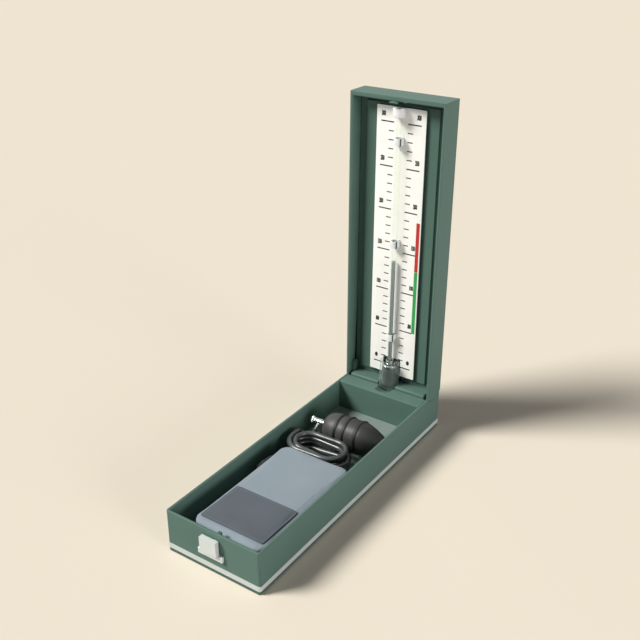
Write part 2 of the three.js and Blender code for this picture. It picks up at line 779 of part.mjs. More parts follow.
// Glass tube, mercury thread, clips and top cap with its air filter
function makeTube() {
  addPiece('glass_tube', turned([
    [boreRadius, tubeBottom], [tubeRadius, tubeBottom], [tubeRadius, tubeTop],
    [boreRadius, tubeTop], [boreRadius, tubeBottom],
  ], 0, tubeY), glass);
  const thread = boreRadius - mercuryGap;
  const threadTop = potBottom + zeroRise + reading * pitchPerMmHg;
  addPiece('mercury_column', turned([
    [0, tubeBottom - fitGap], [thread, tubeBottom - fitGap], [thread, threadTop - meniscus],
    [thread * 0.7, threadTop - meniscus * 0.3], [0, threadTop],
  ], 0, tubeY, 16), mercury);
}

function makeTubeClips() {
  const outer = tubeRadius + fitGap + clipWall;
  clipShares.forEach((share, i) => {
    const z = tubeBottom + (tubeTop - tubeBottom) * share;
    const back = plateY - fitGap;
    const shape = new THREE.Shape();
    shape.moveTo(outer, tubeY);
    shape.lineTo(outer, back);
    shape.lineTo(-outer, back);
    shape.lineTo(-outer, tubeY);
    shape.absarc(0, tubeY, outer, Math.PI, 2 * Math.PI, false);
    const hole = new THREE.Path();
    hole.absarc(0, tubeY, tubeRadius + fitGap, 0, 2 * Math.PI, true);
    shape.holes.push(hole);
    addPiece(`tube_clip_${i + 1}`, extrudeUp(shape, z - clipHeight / 2, z + clipHeight / 2, 16), nylon);
  });
}

function makeTopCap() {
  const body = rod(capRadius, 0, tubeY, capBottom, capTop, 32);
  const trim = box(
    -capRadius - 1, capRadius + 1, plateY - fitGap, tubeY + capRadius + 1, capBottom - 1, capTop + 1);
  const seat = tubeTop + filterHeight + 2 * fitGap;
  const tools = [
    trim,
    rod(tubeRadius + fitGap, 0, tubeY, capBottom - 1, seat),
    rod(ventRadius, 0, tubeY, seat - 1, capTop + 1, 12),
  ];
  addPiece('tube_top_cap', geometryOf(cut(body, tools)), nylon);
  addPiece('air_filter', rod(tubeRadius, 0, tubeY, tubeTop + fitGap, tubeTop + fitGap + filterHeight), felt);
}

// Mercury pot: glass pot, pool, plug with its washer, collar and air nipple
function makePot() {
  addPiece('mercury_pot', turned([
    [0, potBottom], [potRadius - potChamfer, potBottom], [potRadius, potBottom + potChamfer],
    [potRadius, potTop],
    [potBore, potTop], [potBore, potBottom + potFloor], [0, potBottom + potFloor],
  ], 0, tubeY, 32), glass);
  const pool = potBore - poolGap;
  const floor = potBottom + potFloor + poolGap;
  const dip = tubeBottom - 2 * fitGap;
  addPiece('mercury_pool', turned([
    [0, floor], [pool - potChamfer, floor], [pool, floor + potChamfer], [pool, poolTop],
    [tubeRadius + fitGap, poolTop], [tubeRadius + fitGap, dip], [0, dip],
  ], 0, tubeY, 32), mercury);
}

function makePotPlug() {
  const hole = tubeRadius + fitGap;
  const body = join(
    turned([
      [hole, plugBottom], [potBore - fitGap, plugBottom], [potBore - fitGap, plugTop], [hole, plugTop],
      [hole, plugBottom],
    ], 0, tubeY, 32),
    rod(nippleRadius, 0, nippleY, plugTop - 1, plugTop + nippleHeight, 12),
  );
  const airway = rod(nippleRadius / 2, 0, nippleY, plugBottom - 1, plugTop + nippleHeight + 1, 8);
  addPiece('pot_plug', geometryOf(cut(body, [airway])), chrome);
  addPiece('sealing_washer', turned([
    [hole, plugTop + seatGap], [collarRadius, plugTop + seatGap],
    [collarRadius, plugTop + seatGap + washerHeight], [hole, plugTop + seatGap + washerHeight],
    [hole, plugTop + seatGap],
  ], 0, tubeY, 24), rubber);
  const collarBottom = plugTop + 2 * seatGap + washerHeight;
  addPiece('tube_collar', turned([
    [hole, collarBottom], [collarRadius, collarBottom], [collarRadius, collarTop],
    [hole, collarTop], [hole, collarBottom],
  ], 0, tubeY, 24), chrome);
}

const nippleY = tubeY + (tubeRadius + fitGap + potBore) / 2 + 0.4;

function makePotSaddle() {
  const back = wellFloor - fitGap;
  const block = box(
    -saddleHalfWidth, saddleHalfWidth, back - saddleDepth, back, saddleBottom, saddleTop);
  const room = rod(potRadius + fitGap, 0, tubeY, saddleBottom - 1, saddleTop + 1, 48);
  addPiece('pot_saddle', geometryOf(cut(block, [room])), nylon);
}

// Front latch: rail fixed to the wall, slider with a finger inside, its leaf spring and two rivets
const fingerBottom = rimHeight + rimGap - catchReach + hookHeight + fitGap;
const catchTop = lidInnerTop - seatGap;
const catchBottom = catchTop - catchThickness;
// Where the hook lies when the lid is shut
const hookFront = lidTop - catchTop;
const armFront = hookFront + catchThickness + fitGap;

function makeLatchRail() {
  const body = join(
    box(-railHalfWidth, railHalfWidth, -railDepth, -seatGap, railBottom, railTop),
    box(-sliderHalfWidth + 1, sliderHalfWidth - 1, -backPlateThickness, -seatGap, railTop - 1, sliderTop - 1),
  );
  const slot = box(
    -stemHalfWidth - fitGap - slideTravel, stemHalfWidth + fitGap, -railDepth, 1,
    stemBottom - fitGap, stemTop + fitGap);
  const holes = [-rivetX, rivetX].map((x) => (
    rodAlong(rivetRadius + fitGap, x, -rivetDepth - fitGap, 1, railMiddle, 12)));
  addPiece('latch_rail', geometryOf(cut(body, [slot, ...holes])), chrome);
}

function makeLatchSlider() {
  const knob = roundedRectangle(-sliderHalfWidth, sliderHalfWidth, railTop + fitGap, sliderTop, edgeRound);
  const block = extrudeUp(knob, 0, sliderDepth - backPlateThickness - seatGap, 3);
  block.rotateX(Math.PI / 2);
  block.translate(0, -backPlateThickness - seatGap, 0);
  const fingerLeft = hookTip + fitGap;
  const fingerRight = fingerLeft + fingerWidth;
  const fingerTop = fingerBottom + fingerHeight;
  const armBack = armFront + armThickness;
  addPiece('latch_slider', geometryOf(join(
    block,
    box(-stemHalfWidth, stemHalfWidth, -backPlateThickness - 1, armBack, stemBottom, stemTop),
    box(-stemHalfWidth, fingerRight, armFront, armBack, stemBottom, stemTop),
    box(fingerLeft, fingerRight, armFront, armBack, stemTop - 1, fingerTop),
    box(fingerLeft, fingerRight, armFront - fingerReach, armBack, fingerBottom, fingerTop),
  )), chrome);
}

function makeLatchLeaf() {
  const low = baseWall + fitGap;
  const high = armFront - fitGap;
  const shape = new THREE.Shape();
  const steps = 10;
  const bow = (x) => low + (high - low - leafThickness) * (1 - (x / leafHalfWidth) ** 2);
  for (let i = 0; i <= steps; i++) {
    const x = -leafHalfWidth + (2 * leafHalfWidth * i) / steps;
    if (i === 0) shape.moveTo(x, bow(x));
    else shape.lineTo(x, bow(x));
  }
  for (let i = steps; i >= 0; i--) {
    const x = -leafHalfWidth + (2 * leafHalfWidth * i) / steps;
    shape.lineTo(x, bow(x) + leafThickness);
  }
  const leaf = extrudeUp(shape, stemBottom - leafMargin, stemTop + leafMargin);
  const hole = box(
    -stemHalfWidth - fitGap, stemHalfWidth + fitGap, low - 1, high + 1,
    stemBottom - fitGap, stemTop + fitGap);
  addPiece('latch_leaf_spring', geometryOf(cut(leaf, [hole])), steel);
}

function makeLatchRivets() {
  [-1, 1].forEach((side) => {
    const head = baseWall + seatGap;
    const rivet = turned([
      [0, -rivetDepth], [rivetRadius, -rivetDepth], [rivetRadius, head], [rivetHead, head],
      [rivetHead, head + rivetHeadHeight], [0, head + rivetHeadHeight],
    ], 0, 0, 12);
    rivet.rotateX(-Math.PI / 2);
    rivet.translate(side * rivetX, 0, railMiddle);
    addPiece(`latch_rivet_${sideName(side)}`, rivet, steel);
  });
}

// Catch inside the end wall of the lid, a flat hook that drops behind the front wall
function makeLidCatch() {
  const tip = lidFront - catchReach;
  const outline = polygon([
    [-catchHalfWidth, lidFront + catchSeatBack], [-catchHalfWidth, lidFront + catchSeatFront],
    [-hookNeckLeft, lidFront + catchSeatFront], [-hookNeckLeft, tip], [hookTip, tip],
    [hookTip, tip + hookHeight], [-hookNeckRight, tip + hookHeight],
    [-hookNeckRight, lidFront + catchSeatFront], [catchHalfWidth, lidFront + catchSeatFront],
    [catchHalfWidth, lidFront + catchSeatBack],
  ]);
  const plate = extrudeUp(outline, catchBottom, catchTop);
  const holes = [-catchScrewX, catchScrewX].map((x) => (
    rod(catchScrewShank + fitGap, x, catchScrewY, catchBottom - 1, catchTop + 1, 12)));
  addPiece('lid_catch', geometryOf(cut(plate, holes)), steel);
  [-1, 1].forEach((side) => {
    const seat = catchBottom - seatGap;
    addPiece(`catch_screw_${sideName(side)}`, turned([
      [0, seat - catchScrewHeadHeight], [catchScrewHead, seat - catchScrewHeadHeight],
      [catchScrewHead, seat], [catchScrewShank, seat],
      [catchScrewShank, seat + catchScrewLength], [0, seat + catchScrewLength],
    ], side * catchScrewX, catchScrewY, 12), steel);
  });
}

// Folded cuff: rounded slab whose side is drawn in where its layers meet
function cuffRing(inset, z, sides = 6) {
  const x0 = cuffLeft + inset;
  const x1 = cuffRight - inset;
  const y0 = cuffFront + inset;
  const y1 = cuffBack - inset;
  const radius = Math.max(cuffCorner - inset, 1);
  const centres = [
    [x1 - radius, y0 + radius, -Math.PI / 2], [x1 - radius, y1 - radius, 0],
    [x0 + radius, y1 - radius, Math.PI / 2], [x0 + radius, y0 + radius, Math.PI],
  ];
  return centres.flatMap(([cx, cy, from]) => {
    const corner = [];
    for (let i = 0; i <= sides; i++) {
      const angle = from + (Math.PI / 2) * (i / sides);
      corner.push(new THREE.Vector3(cx + radius * Math.cos(angle), cy + radius * Math.sin(angle), z));
    }
    return corner;
  });
}

const softFloor = linerTop + softGap;

function makeCuff() {
  const rings = [];
  const arc = 4;
  for (let i = 0; i <= arc; i++) {
    const angle = (Math.PI / 2) * (i / arc);
    rings.push(cuffRing(cuffEdge * (1 - Math.sin(angle)), softFloor + cuffEdge * (1 - Math.cos(angle))));
  }
  const low = softFloor + cuffEdge;
  const high = cuffTop - cuffEdge;
  const steps = 4 * cuffLayers;
  for (let i = 1; i < steps; i++) {
    const z = low + (high - low) * (i / steps);
    const layer = (cuffLayers * (z - softFloor)) / (cuffTop - softFloor);
    const toCrease = Math.abs(layer - Math.round(layer));
    rings.push(cuffRing(creaseDepth * Math.max(0, 1 - 4 * toCrease), z));
  }
  for (let i = arc; i >= 0; i--) {
    const angle = (Math.PI / 2) * (i / arc);
    rings.push(cuffRing(cuffEdge * (1 - Math.sin(angle)), cuffTop - cuffEdge * (1 - Math.cos(angle))));
  }
  const pocket = box(
    bladderLeft, bladderRight, bladderFront, bladderBack,
    bladderHeight - bladderThickness / 2 - fitGap, bladderHeight + bladderThickness / 2 + fitGap);
  const neck = rodAcross(elbowRadius + fitGap, cuffLeft - 1, bladderLeft + 1, elbowY, bladderHeight);
  addPiece('cuff', geometryOf(cut(skinOf(rings), [pocket, neck])), cloth);
  addPiece('cuff_bladder', box(
    bladderLeft + fitGap, bladderRight - fitGap, bladderFront + fitGap, bladderBack - fitGap,
    bladderHeight - bladderThickness / 2, bladderHeight + bladderThickness / 2), bladderRubber);
  addPiece('cuff_hook_patch', extrudeUp(
    roundedRectangle(cuffLeft + patchInset, cuffRight - patchInset, patchFront, patchBack, patchCorner),
    cuffTop + seatGap, cuffTop + seatGap + patchThickness), hookTape);
}

// Elbow that leads from the bladder out of the side of the cuff
function makeElbow() {
  const z = bladderHeight;
  const points = [
    new THREE.Vector3(bladderLeft, elbowY, z),
    new THREE.Vector3((bladderLeft + elbowX) / 2, elbowY, z),
    new THREE.Vector3(elbowX + elbowBend, elbowY, z),
    new THREE.Vector3(elbowX + elbowBend * elbowCorner, elbowY + elbowBend * elbowCorner, z),
    new THREE.Vector3(elbowX, elbowY + elbowBend, z),
    new THREE.Vector3(elbowX, elbowEnd, z),
  ];
  addPiece('cuff_elbow', tubeAlong(points, elbowRadius, 10), rubber);
}

// One loop of the coil is a straight-sided oval; share runs from 0 to 1 round it, clockwise from the left
function ovalPoint(share, radius) {
  const turn = share - Math.floor(share);
  const s = coilStraight;
  const arc = (centre, degrees) => [
    centre + radius * Math.cos(THREE.MathUtils.degToRad(degrees)),
    radius * Math.sin(THREE.MathUtils.degToRad(degrees)),
  ];
  if (turn < 1 / 6) return arc(-s, 180 - 90 * turn * 6);
  if (turn < 1 / 3) return [-s + 2 * s * (turn - 1 / 6) * 6, radius];
  if (turn < 2 / 3) return arc(s, 90 - 180 * (turn - 1 / 3) * 3);
  if (turn < 5 / 6) return [s - 2 * s * (turn - 2 / 3) * 6, -radius];
  return arc(-s, -90 - 90 * (turn - 5 / 6) * 6);
}

// Centre line of the coil: it spirals in and out again and climbs a layer where it turns back
function coilPath() {
  const turns = turnsPerLayer * coilLayers;
  const count = Math.round(turns * stepsPerTurn);
  const points = [];
  for (let i = 0; i <= count; i++) {
    const t = i / stepsPerTurn;
    const layer = Math.min(Math.floor(t / turnsPerLayer), coilLayers - 1);
    const inLayer = t - layer * turnsPerLayer;
    const inward = layer % 2 === 0 ? inLayer : turnsPerLayer - inLayer;
    const radius = coilOuter - hosePitch * inward;
    const [x, y] = ovalPoint(t, radius);
    let climb = 0;
    for (let k = 1; k < coilLayers; k++) {
      climb += THREE.MathUtils.clamp((t - k * turnsPerLayer) * 2 + 0.5, 0, 1);
    }
    points.push(new THREE.Vector3(coilX + x, coilY + y, softFloor + hoseRadius + hosePitch * climb));
  }
  const lead = 2 * hoseRadius;
  const first = points[0];
  const last = points[points.length - 1];
  points.unshift(new THREE.Vector3(first.x, first.y - lead, first.z));
  points.push(new THREE.Vector3(last.x, last.y + lead, last.z));
  return points;
}

// Sweeps a round section along points, keeping each section upright
function sweptTube(points, radius, sides) {
  const up = new THREE.Vector3(0, 0, 1);
  const rings = points.map((point, i) => {
    const before = points[Math.max(i - 1, 0)];
    const after = points[Math.min(i + 1, points.length - 1)];
    const along = after.clone().sub(before).normalize();
    const side = new THREE.Vector3().crossVectors(up, along).normalize();
    const rise = new THREE.Vector3().crossVectors(along, side);
    const ring = [];
    for (let k = 0; k < sides; k++) {
      const angle = (2 * Math.PI * (k + 0.5)) / sides;
      ring.push(point.clone()
        .addScaledVector(side, radius * Math.cos(angle))
        .addScaledVector(rise, radius * Math.sin(angle)));
    }
    return ring;
  });
  return skinOf(rings);
}

// Least gap between stretches of the coil that aren't next to each other along the hose
function leastGap(points) {
  let least = Infinity;
  const apart = Math.round(stepsPerTurn / 2);
  for (let i = 0; i < points.length; i++) {
    for (let j = i + apart; j < points.length; j++) {
      least = Math.min(least, points[i].distanceTo(points[j]));
    }
  }
  return least - 2 * hoseRadius;
}

// Routes of the two free stretches, from the elbow to the coil and from the coil to the valve
const cuffRoute = [
  [-44.5, 138.5, 28], [-44.5, 145, 28], [-44.3, 152, 26.7], [-44, 159, 23.5],
  [-43.6, 166, 19.6], [-43.3, 173, 16.9], [-43.2, 179, 16.1], [-43.2, 183.7, 16.1],
];
const valveRoute = [
  [-43.2, 196.4, 35.6], [-43.2, 198, 35.6], [-43, 201.4, 34.7], [-42.5, 204.7, 32.3],
  [-41.6, 208, 28.6], [-40, 212.1, 25.2], [-38, 217.2, 24.1], [-37.1, 220.3, 24.5],
  [-36.6, 223.2, 25.7], [-36.6, 224.5, 26.45],
];

function makeHose() {
  const coil = coilPath();
  console.log(`hose coil: least gap ${leastGap(coil).toFixed(2)} mm`);
  addPiece('hose_coil', sweptTube(coil, hoseRadius, coilSides), rubber);
  const pointsOf = (route) => route.map(([x, y, z]) => new THREE.Vector3(x, y, z));
  addPiece('hose_to_cuff', tubeAlong(pointsOf(cuffRoute), hoseRadius, hoseSides), rubber);
  addPiece('hose_to_valve', tubeAlong(pointsOf(valveRoute), hoseRadius, hoseSides), rubber);
}

// Squeeze bulb: a hollow rubber pear with three ribs, open at both ends
const bulbZ = softFloor + bulbRadius;
const bulbBody = bulbRadius - ribHeight;

function bulbProfileRadius(x) {
  const first = ribPlaces[0];
  const last = ribPlaces[ribPlaces.length - 1];
  let radius = bulbBody;
  if (x < first) {
    const share = (first - x) / (first - bulbLeft);
    const full = Math.max(0, 1 - share ** bulbFullness) ** (1 / bulbFullness);
    radius = bulbNeck + (bulbBody - bulbNeck) * full;
  }
  if (x > last) {
    const share = (x - last) / (bulbRight - last);
    radius = bulbTail + (bulbBody - bulbTail) * (1 - share ** 1.5);
  }
  return radius;
}

function makeBulb() {
  const places = [
    ...bulbNeckSteps.map((step) => bulbLeft + step),
    ...ribPlaces.flatMap((x) => [-1, -0.5, 0, 0.5, 1].map((share) => x + share * ribHalfWidth)),
    ...bulbTailSteps.map((step) => bulbRight - step),
  ];
  const outer = places.map((x) => {
    const rib = ribPlaces.reduce((most, at) => {
      const share = Math.min(Math.abs(x - at) / ribHalfWidth, 1);
      return Math.max(most, ribHeight * Math.sqrt(1 - share ** 2));
    }, 0);
    return [bulbProfileRadius(x) + rib, x];
  });
  const inner = [];
  for (let i = 0; i <= hollowSteps; i++) {
    const share = (1 - Math.cos((Math.PI * i) / hollowSteps)) / 2;
    const x = bulbLeft + hollowLeft + (bulbRight - hollowRight - bulbLeft - hollowLeft) * share;
    inner.unshift([Math.max(bulbProfileRadius(x) - bulbWall, bulbBore), x]);
  }
  const start = [bulbBore, bulbLeft];
  const neck = [bulbBore, bulbLeft + hollowLeft - hollowChamfer];
  const profile = [start, ...outer, [bulbBore, bulbRight], ...inner, neck, start];
  addPiece('squeeze_bulb', turnedAcross(profile, bulbY, bulbZ, 32), rubber);
}

// Release valve: body with spigot and hose nipple, and the thumb screw at its end
const valveRight = bulbLeft - seatGap;
const valveLeft = valveRight - valveLength;

function makeValve() {
  const profile = [
    [0, valveLeft], [valveRadius - valveChamfer, valveLeft], [valveRadius, valveLeft + valveChamfer],
    [valveRadius, valveRight - valveFlangeWidth], [valveFlange, valveRight - valveFlangeWidth],
    [valveFlange, valveRight], [spigotRadius, valveRight], [spigotRadius, valveRight + spigotLength],
    [0, valveRight + spigotLength],
  ];
  const nipple = rod(hoseNippleRadius, 0, 0, 0, hoseNippleLength, 12);
  nipple.rotateX(Math.PI / 2 + THREE.MathUtils.degToRad(hoseNippleAngle));
  nipple.translate(valveRight - nippleFromFlange, bulbY, bulbZ);
  const body = join(turnedAcross(profile, bulbY, bulbZ, 24), nipple);
  const bore = rodAcross(
    needleRadius + pinPlay, valveLeft - 1, valveLeft + needleLength + fitGap, bulbY, bulbZ);
  const airway = rodAcross(airwayRadius, valveLeft, valveRight + spigotLength + 1, bulbY, bulbZ, 8);
  addPiece('release_valve', geometryOf(cut(body, [bore, airway])), chrome);

  const knobRight = valveLeft - fitGap;
  const knobLeft = knobRight - knobLength;
  const knob = turnedAcross([
    [0, knobLeft], [knobRadius - knobChamfer, knobLeft], [knobRadius, knobLeft + knobChamfer],
    [knobRadius, knobRight - knobChamfer], [knobRadius - knobChamfer, knobRight],
    [needleRadius, knobRight], [needleRadius, knobRight + needleLength], [0, knobRight + needleLength],
  ], bulbY, bulbZ, 30);
  const grooves = [];
  for (let i = 0; i < knobGrooves; i++) {
    const angle = (2 * Math.PI * i) / knobGrooves;
    grooves.push(rodAcross(
      knobGrooveRadius, knobLeft - 1, knobRight - fitGap,
      bulbY + knobRadius * Math.cos(angle), bulbZ + knobRadius * Math.sin(angle), 6));
  }
  addPiece('valve_thumb_screw', geometryOf(cut(knob, grooves)), chrome);
}

function makeInletValve() {
  const left = bulbRight + seatGap;
  const body = turnedAcross([
    [0, left - spigotLength], [spigotRadius, left - spigotLength], [spigotRadius, left],
    [inletRadius, left], [inletRadius, left + inletLength - knobChamfer],
    [inletRadius - knobChamfer, left + inletLength],
    [0, left + inletLength],
  ], bulbY, bulbZ, 24);
  const hole = rodAcross(inletHole, left - spigotLength - 1, left + inletLength + 1, bulbY, bulbZ, 8);
  addPiece('inlet_valve', geometryOf(cut(body, [hole])), chrome);
}

makeBottomBoard();
makeTrimBand();
makeBoardScrews();
makeBaseCase();
makeFloorLiner();
makeShelfBlock();
makeHingeEars();
makeLidCase();
makeBackBoard();
makeBackBoardScrews();
makeScalePlate();
makeTube();
makeTubeClips();
makeTopCap();
makePot();
makePotPlug();
makePotSaddle();
makeLatchRail();
makeLatchSlider();
makeLatchLeaf();
makeLatchRivets();
makeLidCatch();
makeCuff();
makeElbow();
makeHose();
makeBulb();
makeValve();
makeInletValve();

part.position.y = -caseLength / 2;

export default part;
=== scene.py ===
import math

import bmesh
import bpy
import numpy as np
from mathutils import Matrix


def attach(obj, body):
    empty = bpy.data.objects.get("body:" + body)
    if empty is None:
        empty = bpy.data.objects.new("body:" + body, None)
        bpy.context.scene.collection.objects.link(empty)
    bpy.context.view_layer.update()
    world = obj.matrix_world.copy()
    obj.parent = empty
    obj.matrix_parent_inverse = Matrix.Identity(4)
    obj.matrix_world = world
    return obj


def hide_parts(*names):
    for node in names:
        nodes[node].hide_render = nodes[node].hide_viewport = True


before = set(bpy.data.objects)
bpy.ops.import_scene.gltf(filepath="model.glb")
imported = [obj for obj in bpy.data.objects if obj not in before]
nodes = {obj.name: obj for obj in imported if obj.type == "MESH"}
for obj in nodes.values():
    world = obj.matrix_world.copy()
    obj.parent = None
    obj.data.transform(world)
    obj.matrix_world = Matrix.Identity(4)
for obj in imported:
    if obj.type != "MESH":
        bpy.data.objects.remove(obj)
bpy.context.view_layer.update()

milli = 0.001
fullTurn = 2 * math.pi

# sizes that the part's source also has
case = {
    "length": 352.0, "softFloor": 13.1, "tubeY": 328.6, "plateY": 333.4, "zero": 73.8, "perMmHg": 0.97,
}
caseMiddle = np.array([0.0, case["length"] / 2, 0.0])

view = {"place": (0.4555, -0.6613, 0.5929), "turn": (63.774, 0.0, 34.340), "lens": 50.0, "sensor": 36.0}

light = {
    "key": 4.28, "keyFrom": (-0.539, -0.485, 0.688), "keyAngle": 20.0, "keyColour": (1.0, 0.99, 0.97),
    "fill": 2.45, "fillFrom": (0.96, -0.17, 0.12), "fillAngle": 30.0, "fillColour": (1.0, 0.945, 0.99),
    "side": 0.4, "sideFrom": (-0.8, -0.2, 0.56), "sideAngle": 80.0, "sideColour": (0.95, 0.98, 1.0),
    "sky": 0.07, "skyColour": (0.95, 0.98, 1.0), "backdrop": 0.88,
    "floor": (0.735, 0.667, 0.552, 1.0), "bounced": (0.50, 0.50, 0.49, 1.0),
    "floorHalf": 30.0, "floorDrop": 0.0003,
}

bulb = {
    "left": -27.0, "right": 51.5, "y": 234.3, "z": 32.1, "body": 17.9, "neck": 5.6, "tail": 6.5,
    "full": 2.5, "taper": 1.5, "ribs": (-6.0, 5.0, 20.0), "ribSizes": (1.0, 0.85, 1.1), "rib": 1.1,
    "ribHalf": 1.6, "groove": 0.25, "grooveOff": 2.3, "grooveHalf": 0.5, "endRound": 0.7, "wall": 2.4,
    "bore": 3.0, "boreLength": 3, "hollowLeft": 4.5, "hollowRight": 4, "paintedShadeFrom": -6.0, "paintedShadeTo": 50.0,
    "paintedRibShade": (1.2, 1.9),
}

hookPatch = {
    "left": -30.0, "right": 47.0, "front": 18.5, "back": 75.8, "corner": 2.5, "leastCorner": 0.3,
    "insets": (0.35, 0.0, 0.12, 0.5, 1.2, 2.0, 2.6, 3.2, 4.2, 7.0, 11.0, 16.0, 21.0, 25.0, 28.2),
    "heights": (0.0, 0.35, 0.75, 0.95, 1.0, 0.95, 0.78, 0.95, *[1.0] * 7),
    "above": 4, "hookPitch": 1.1, "seamInside": 2.6, "threadHalf": 0.4, "stitch": 3.2, "stitchShare": 0.7,
}


def added(name, data):
    # an object made of the data, linked to the scene
    thing = bpy.data.objects.new(name, data)
    bpy.context.scene.collection.objects.link(thing)
    return thing


# Camera, at the place and lens worked out from the corners of the case
cameraData = bpy.data.cameras.new("camera")
cameraData.lens = view["lens"]
cameraData.sensor_width = view["sensor"]
camera = added("camera", cameraData)
camera.location = view["place"]
camera.rotation_euler = [math.radians(angle) for angle in view["turn"]]
bpy.context.scene.camera = camera
print("camera placed")


# Shader maths

class Wire:
    # one socket of a material, with the usual operators

    def __init__(self, tree, socket=None):
        self.tree = tree
        self.socket = socket

    def node(self, kind, settings=None, out=0, **inputs):
        # any node: its type, its settings, then values or wires for its sockets, by name or as i0, i1
        made = self.tree.nodes.new("ShaderNode" + kind)
        for key, value in (settings or {}).items():
            setattr(made, key, value)
        for key, value in inputs.items():
            name = int(key[1:]) if key[0] == "i" and key[1:].isdigit() else key.replace("_", " ")
            if isinstance(value, Wire):
                self.tree.links.new(value.socket, made.inputs[name])
            else:
                made.inputs[name].default_value = value
        return Wire(self.tree, made.outputs[out])

    def other(self, name):
        # another output of the node that this one belongs to
        return Wire(self.tree, self.socket.node.outputs[name])

    def maths(self, operation, first, second=0.0):
        return self.node("Math", {"operation": operation}, i0=first, i1=second)

    def __add__(self, value):
        return self.maths("ADD", self, value)

    def __sub__(self, value):
        return self.maths("SUBTRACT", self, value)

    def __rsub__(self, value):
        return self.maths("SUBTRACT", value, self)

    def __mul__(self, value):
        return self.maths("MULTIPLY", self, value)

    def __abs__(self):
        return self.maths("ABSOLUTE", self)

    def least(self, value):
        return self.maths("MINIMUM", self, value)

    def most(self, value):
        return self.maths("MAXIMUM", self, value)

    def below(self, value):
        return self.maths("LESS_THAN", self, value)

    def wave(self):
        return self.maths("SINE", self)

    def part(self):
        return self.maths("FRACT", self)

    def blend(self, start, end):
        # from the first colour to the second as this wire goes from 0 to 1
        return self.node("Mix", {"data_type": "RGBA"}, out=2, i0=self, i6=start, i7=end)

    def smooth(self, low, high):
        # 0 below low, 1 above high, eased between
        return self.node("MapRange", {"interpolation_type": "SMOOTHSTEP"},
                         Value=self, From_Min=low, From_Max=high)


def colour(red, green, blue):
    # an sRGB colour from 0 to 255 as linear values
    values = np.array([red, green, blue]) / 255
    linear = np.where(values <= 0.04045, values / 12.92, ((values + 0.055) / 1.055) ** 2.4)
    return (*linear.tolist(), 1.0)


def shaded(tone, times, plus=0.0):
    # a colour whose three parts are multiplied and then raised
    return (*(part * times + plus for part in tone[:3]), 1.0)


def newLook(name):
    # a material, its shader, and where on the piece a point is, in its own coordinates in metres
    look = bpy.data.materials.new(name)
    look.use_nodes = True
    tree = look.node_tree
    return look, tree.nodes["Principled BSDF"], Wire(tree).node("TexCoord", out="Object")


def feed(shader, **inputs):
    # values are set on the shader's own sockets, wires are linked to them
    for key, value in inputs.items():
        target = shader.inputs[key.replace("_", " ")]
        if isinstance(value, Wire):
            shader.id_data.links.new(value.socket, target)
        else:
            target.default_value = value


def axesOf(where):
    # the x, the y and the z of a place
    split = where.node("SeparateXYZ", Vector=where)
    return [split.other(name) for name in ("X", "Y", "Z")]


def grain(where, perMetre, detail=3.0, roughness=0.55):
    # layered noise from 0 to 1, with about so many patches to the metre
    return where.node("TexNoise", Vector=where, Scale=perMetre, Detail=detail, Roughness=roughness)


def bump(height, strength, distance):
    # the normal tilted by a height from 0 to 1 that stands for a distance in metres
    return height.node("Bump", Strength=strength, Distance=distance, Height=height)


def paintLook(name, tone, cloudTone, rough):
    # baked enamel: slight orange peel, faint cloudiness, a little dust that dulls it
    look, shader, where = newLook(name)
    cloud = grain(where, 14.0, detail=4.0)
    peel = grain(where, 900.0, detail=2.0)
    speck = grain(where, 2600.0, detail=1.0)
    mottle = (cloud * 0.7 + speck * 0.3).smooth(0.25, 0.75)
    feed(shader, Base_Color=mottle.blend(tone, cloudTone), Roughness=cloud * 0.16 + (rough - 0.08),
         Normal=bump(peel + speck * 0.25, strength=0.10, distance=0.0004), IOR=1.5, Specular_IOR_Level=0.13)
    return look


def metalLook(name, tone, rough, brushed=0.0, along="x", flat=0.0):
    # metal with fine lines along one axis where brushed, and finger marks that dull it
    look, shader, where = newLook(name)
    stretch = {"x": (30.0, 2600.0, 2600.0), "z": (2600.0, 2600.0, 30.0)}[along]
    drawn = where.node("Mapping", Vector=where, Scale=stretch)
    lines = where.node("TexNoise", Vector=drawn, Scale=1.0, Detail=2.0)
    marks = grain(where, 90.0)
    mottle = (lines * (0.4 + brushed) + marks * 0.3).smooth(0.2, 0.8)
    feed(shader, Base_Color=mottle.blend(shaded(tone, 0.86), tone),
         Roughness=marks * 0.12 + lines * brushed * 0.2 + rough, Metallic=1.0 - flat,
         Normal=bump(lines, strength=0.05 + brushed * 0.2, distance=0.0002))
    return look


def rubberLook(name, tone, rough, shine=0.5):
    # moulded black rubber: soft shine and fine bloom; also returns what the bulb's look adds to
    look, shader, where = newLook(name)
    bloom = grain(where, 60.0, detail=4.0)
    fine = grain(where, 2400.0, detail=2.0)
    base = bloom.smooth(0.35, 0.75).blend(tone, shaded(tone, 1.35, 0.004))
    feed(shader, Base_Color=base, Roughness=bloom * 0.22 + (rough - 0.1),
         Normal=bump(fine + bloom * 0.5, strength=0.10, distance=0.0003), Specular_IOR_Level=shine)
    return look, shader, base, where


def bulbLook(name, tone, rough, shine):
    # rubber with painted shade: darker on each rib where it stands out, and darker towards the tail, which
    # turns away from the light
    look, shader, base, where = rubberLook(name, tone, rough, shine)
    x = axesOf(where)[0]
    inner, outer = (edge * milli for edge in bulb["paintedRibShade"])
    # painted shade: each rib is darkened where it stands out
    for rib in bulb["ribs"]:
        near = abs(x - rib * milli)
        base = near.smooth(inner, outer).blend(colour(18, 18, 18), base)
    # painted shade: darker towards the tail, which turns away from the light
    tail = x.smooth(bulb["paintedShadeFrom"] * milli, bulb["paintedShadeTo"] * milli)
    feed(shader, Base_Color=tail.blend(base, colour(26, 27, 27)))
    return look


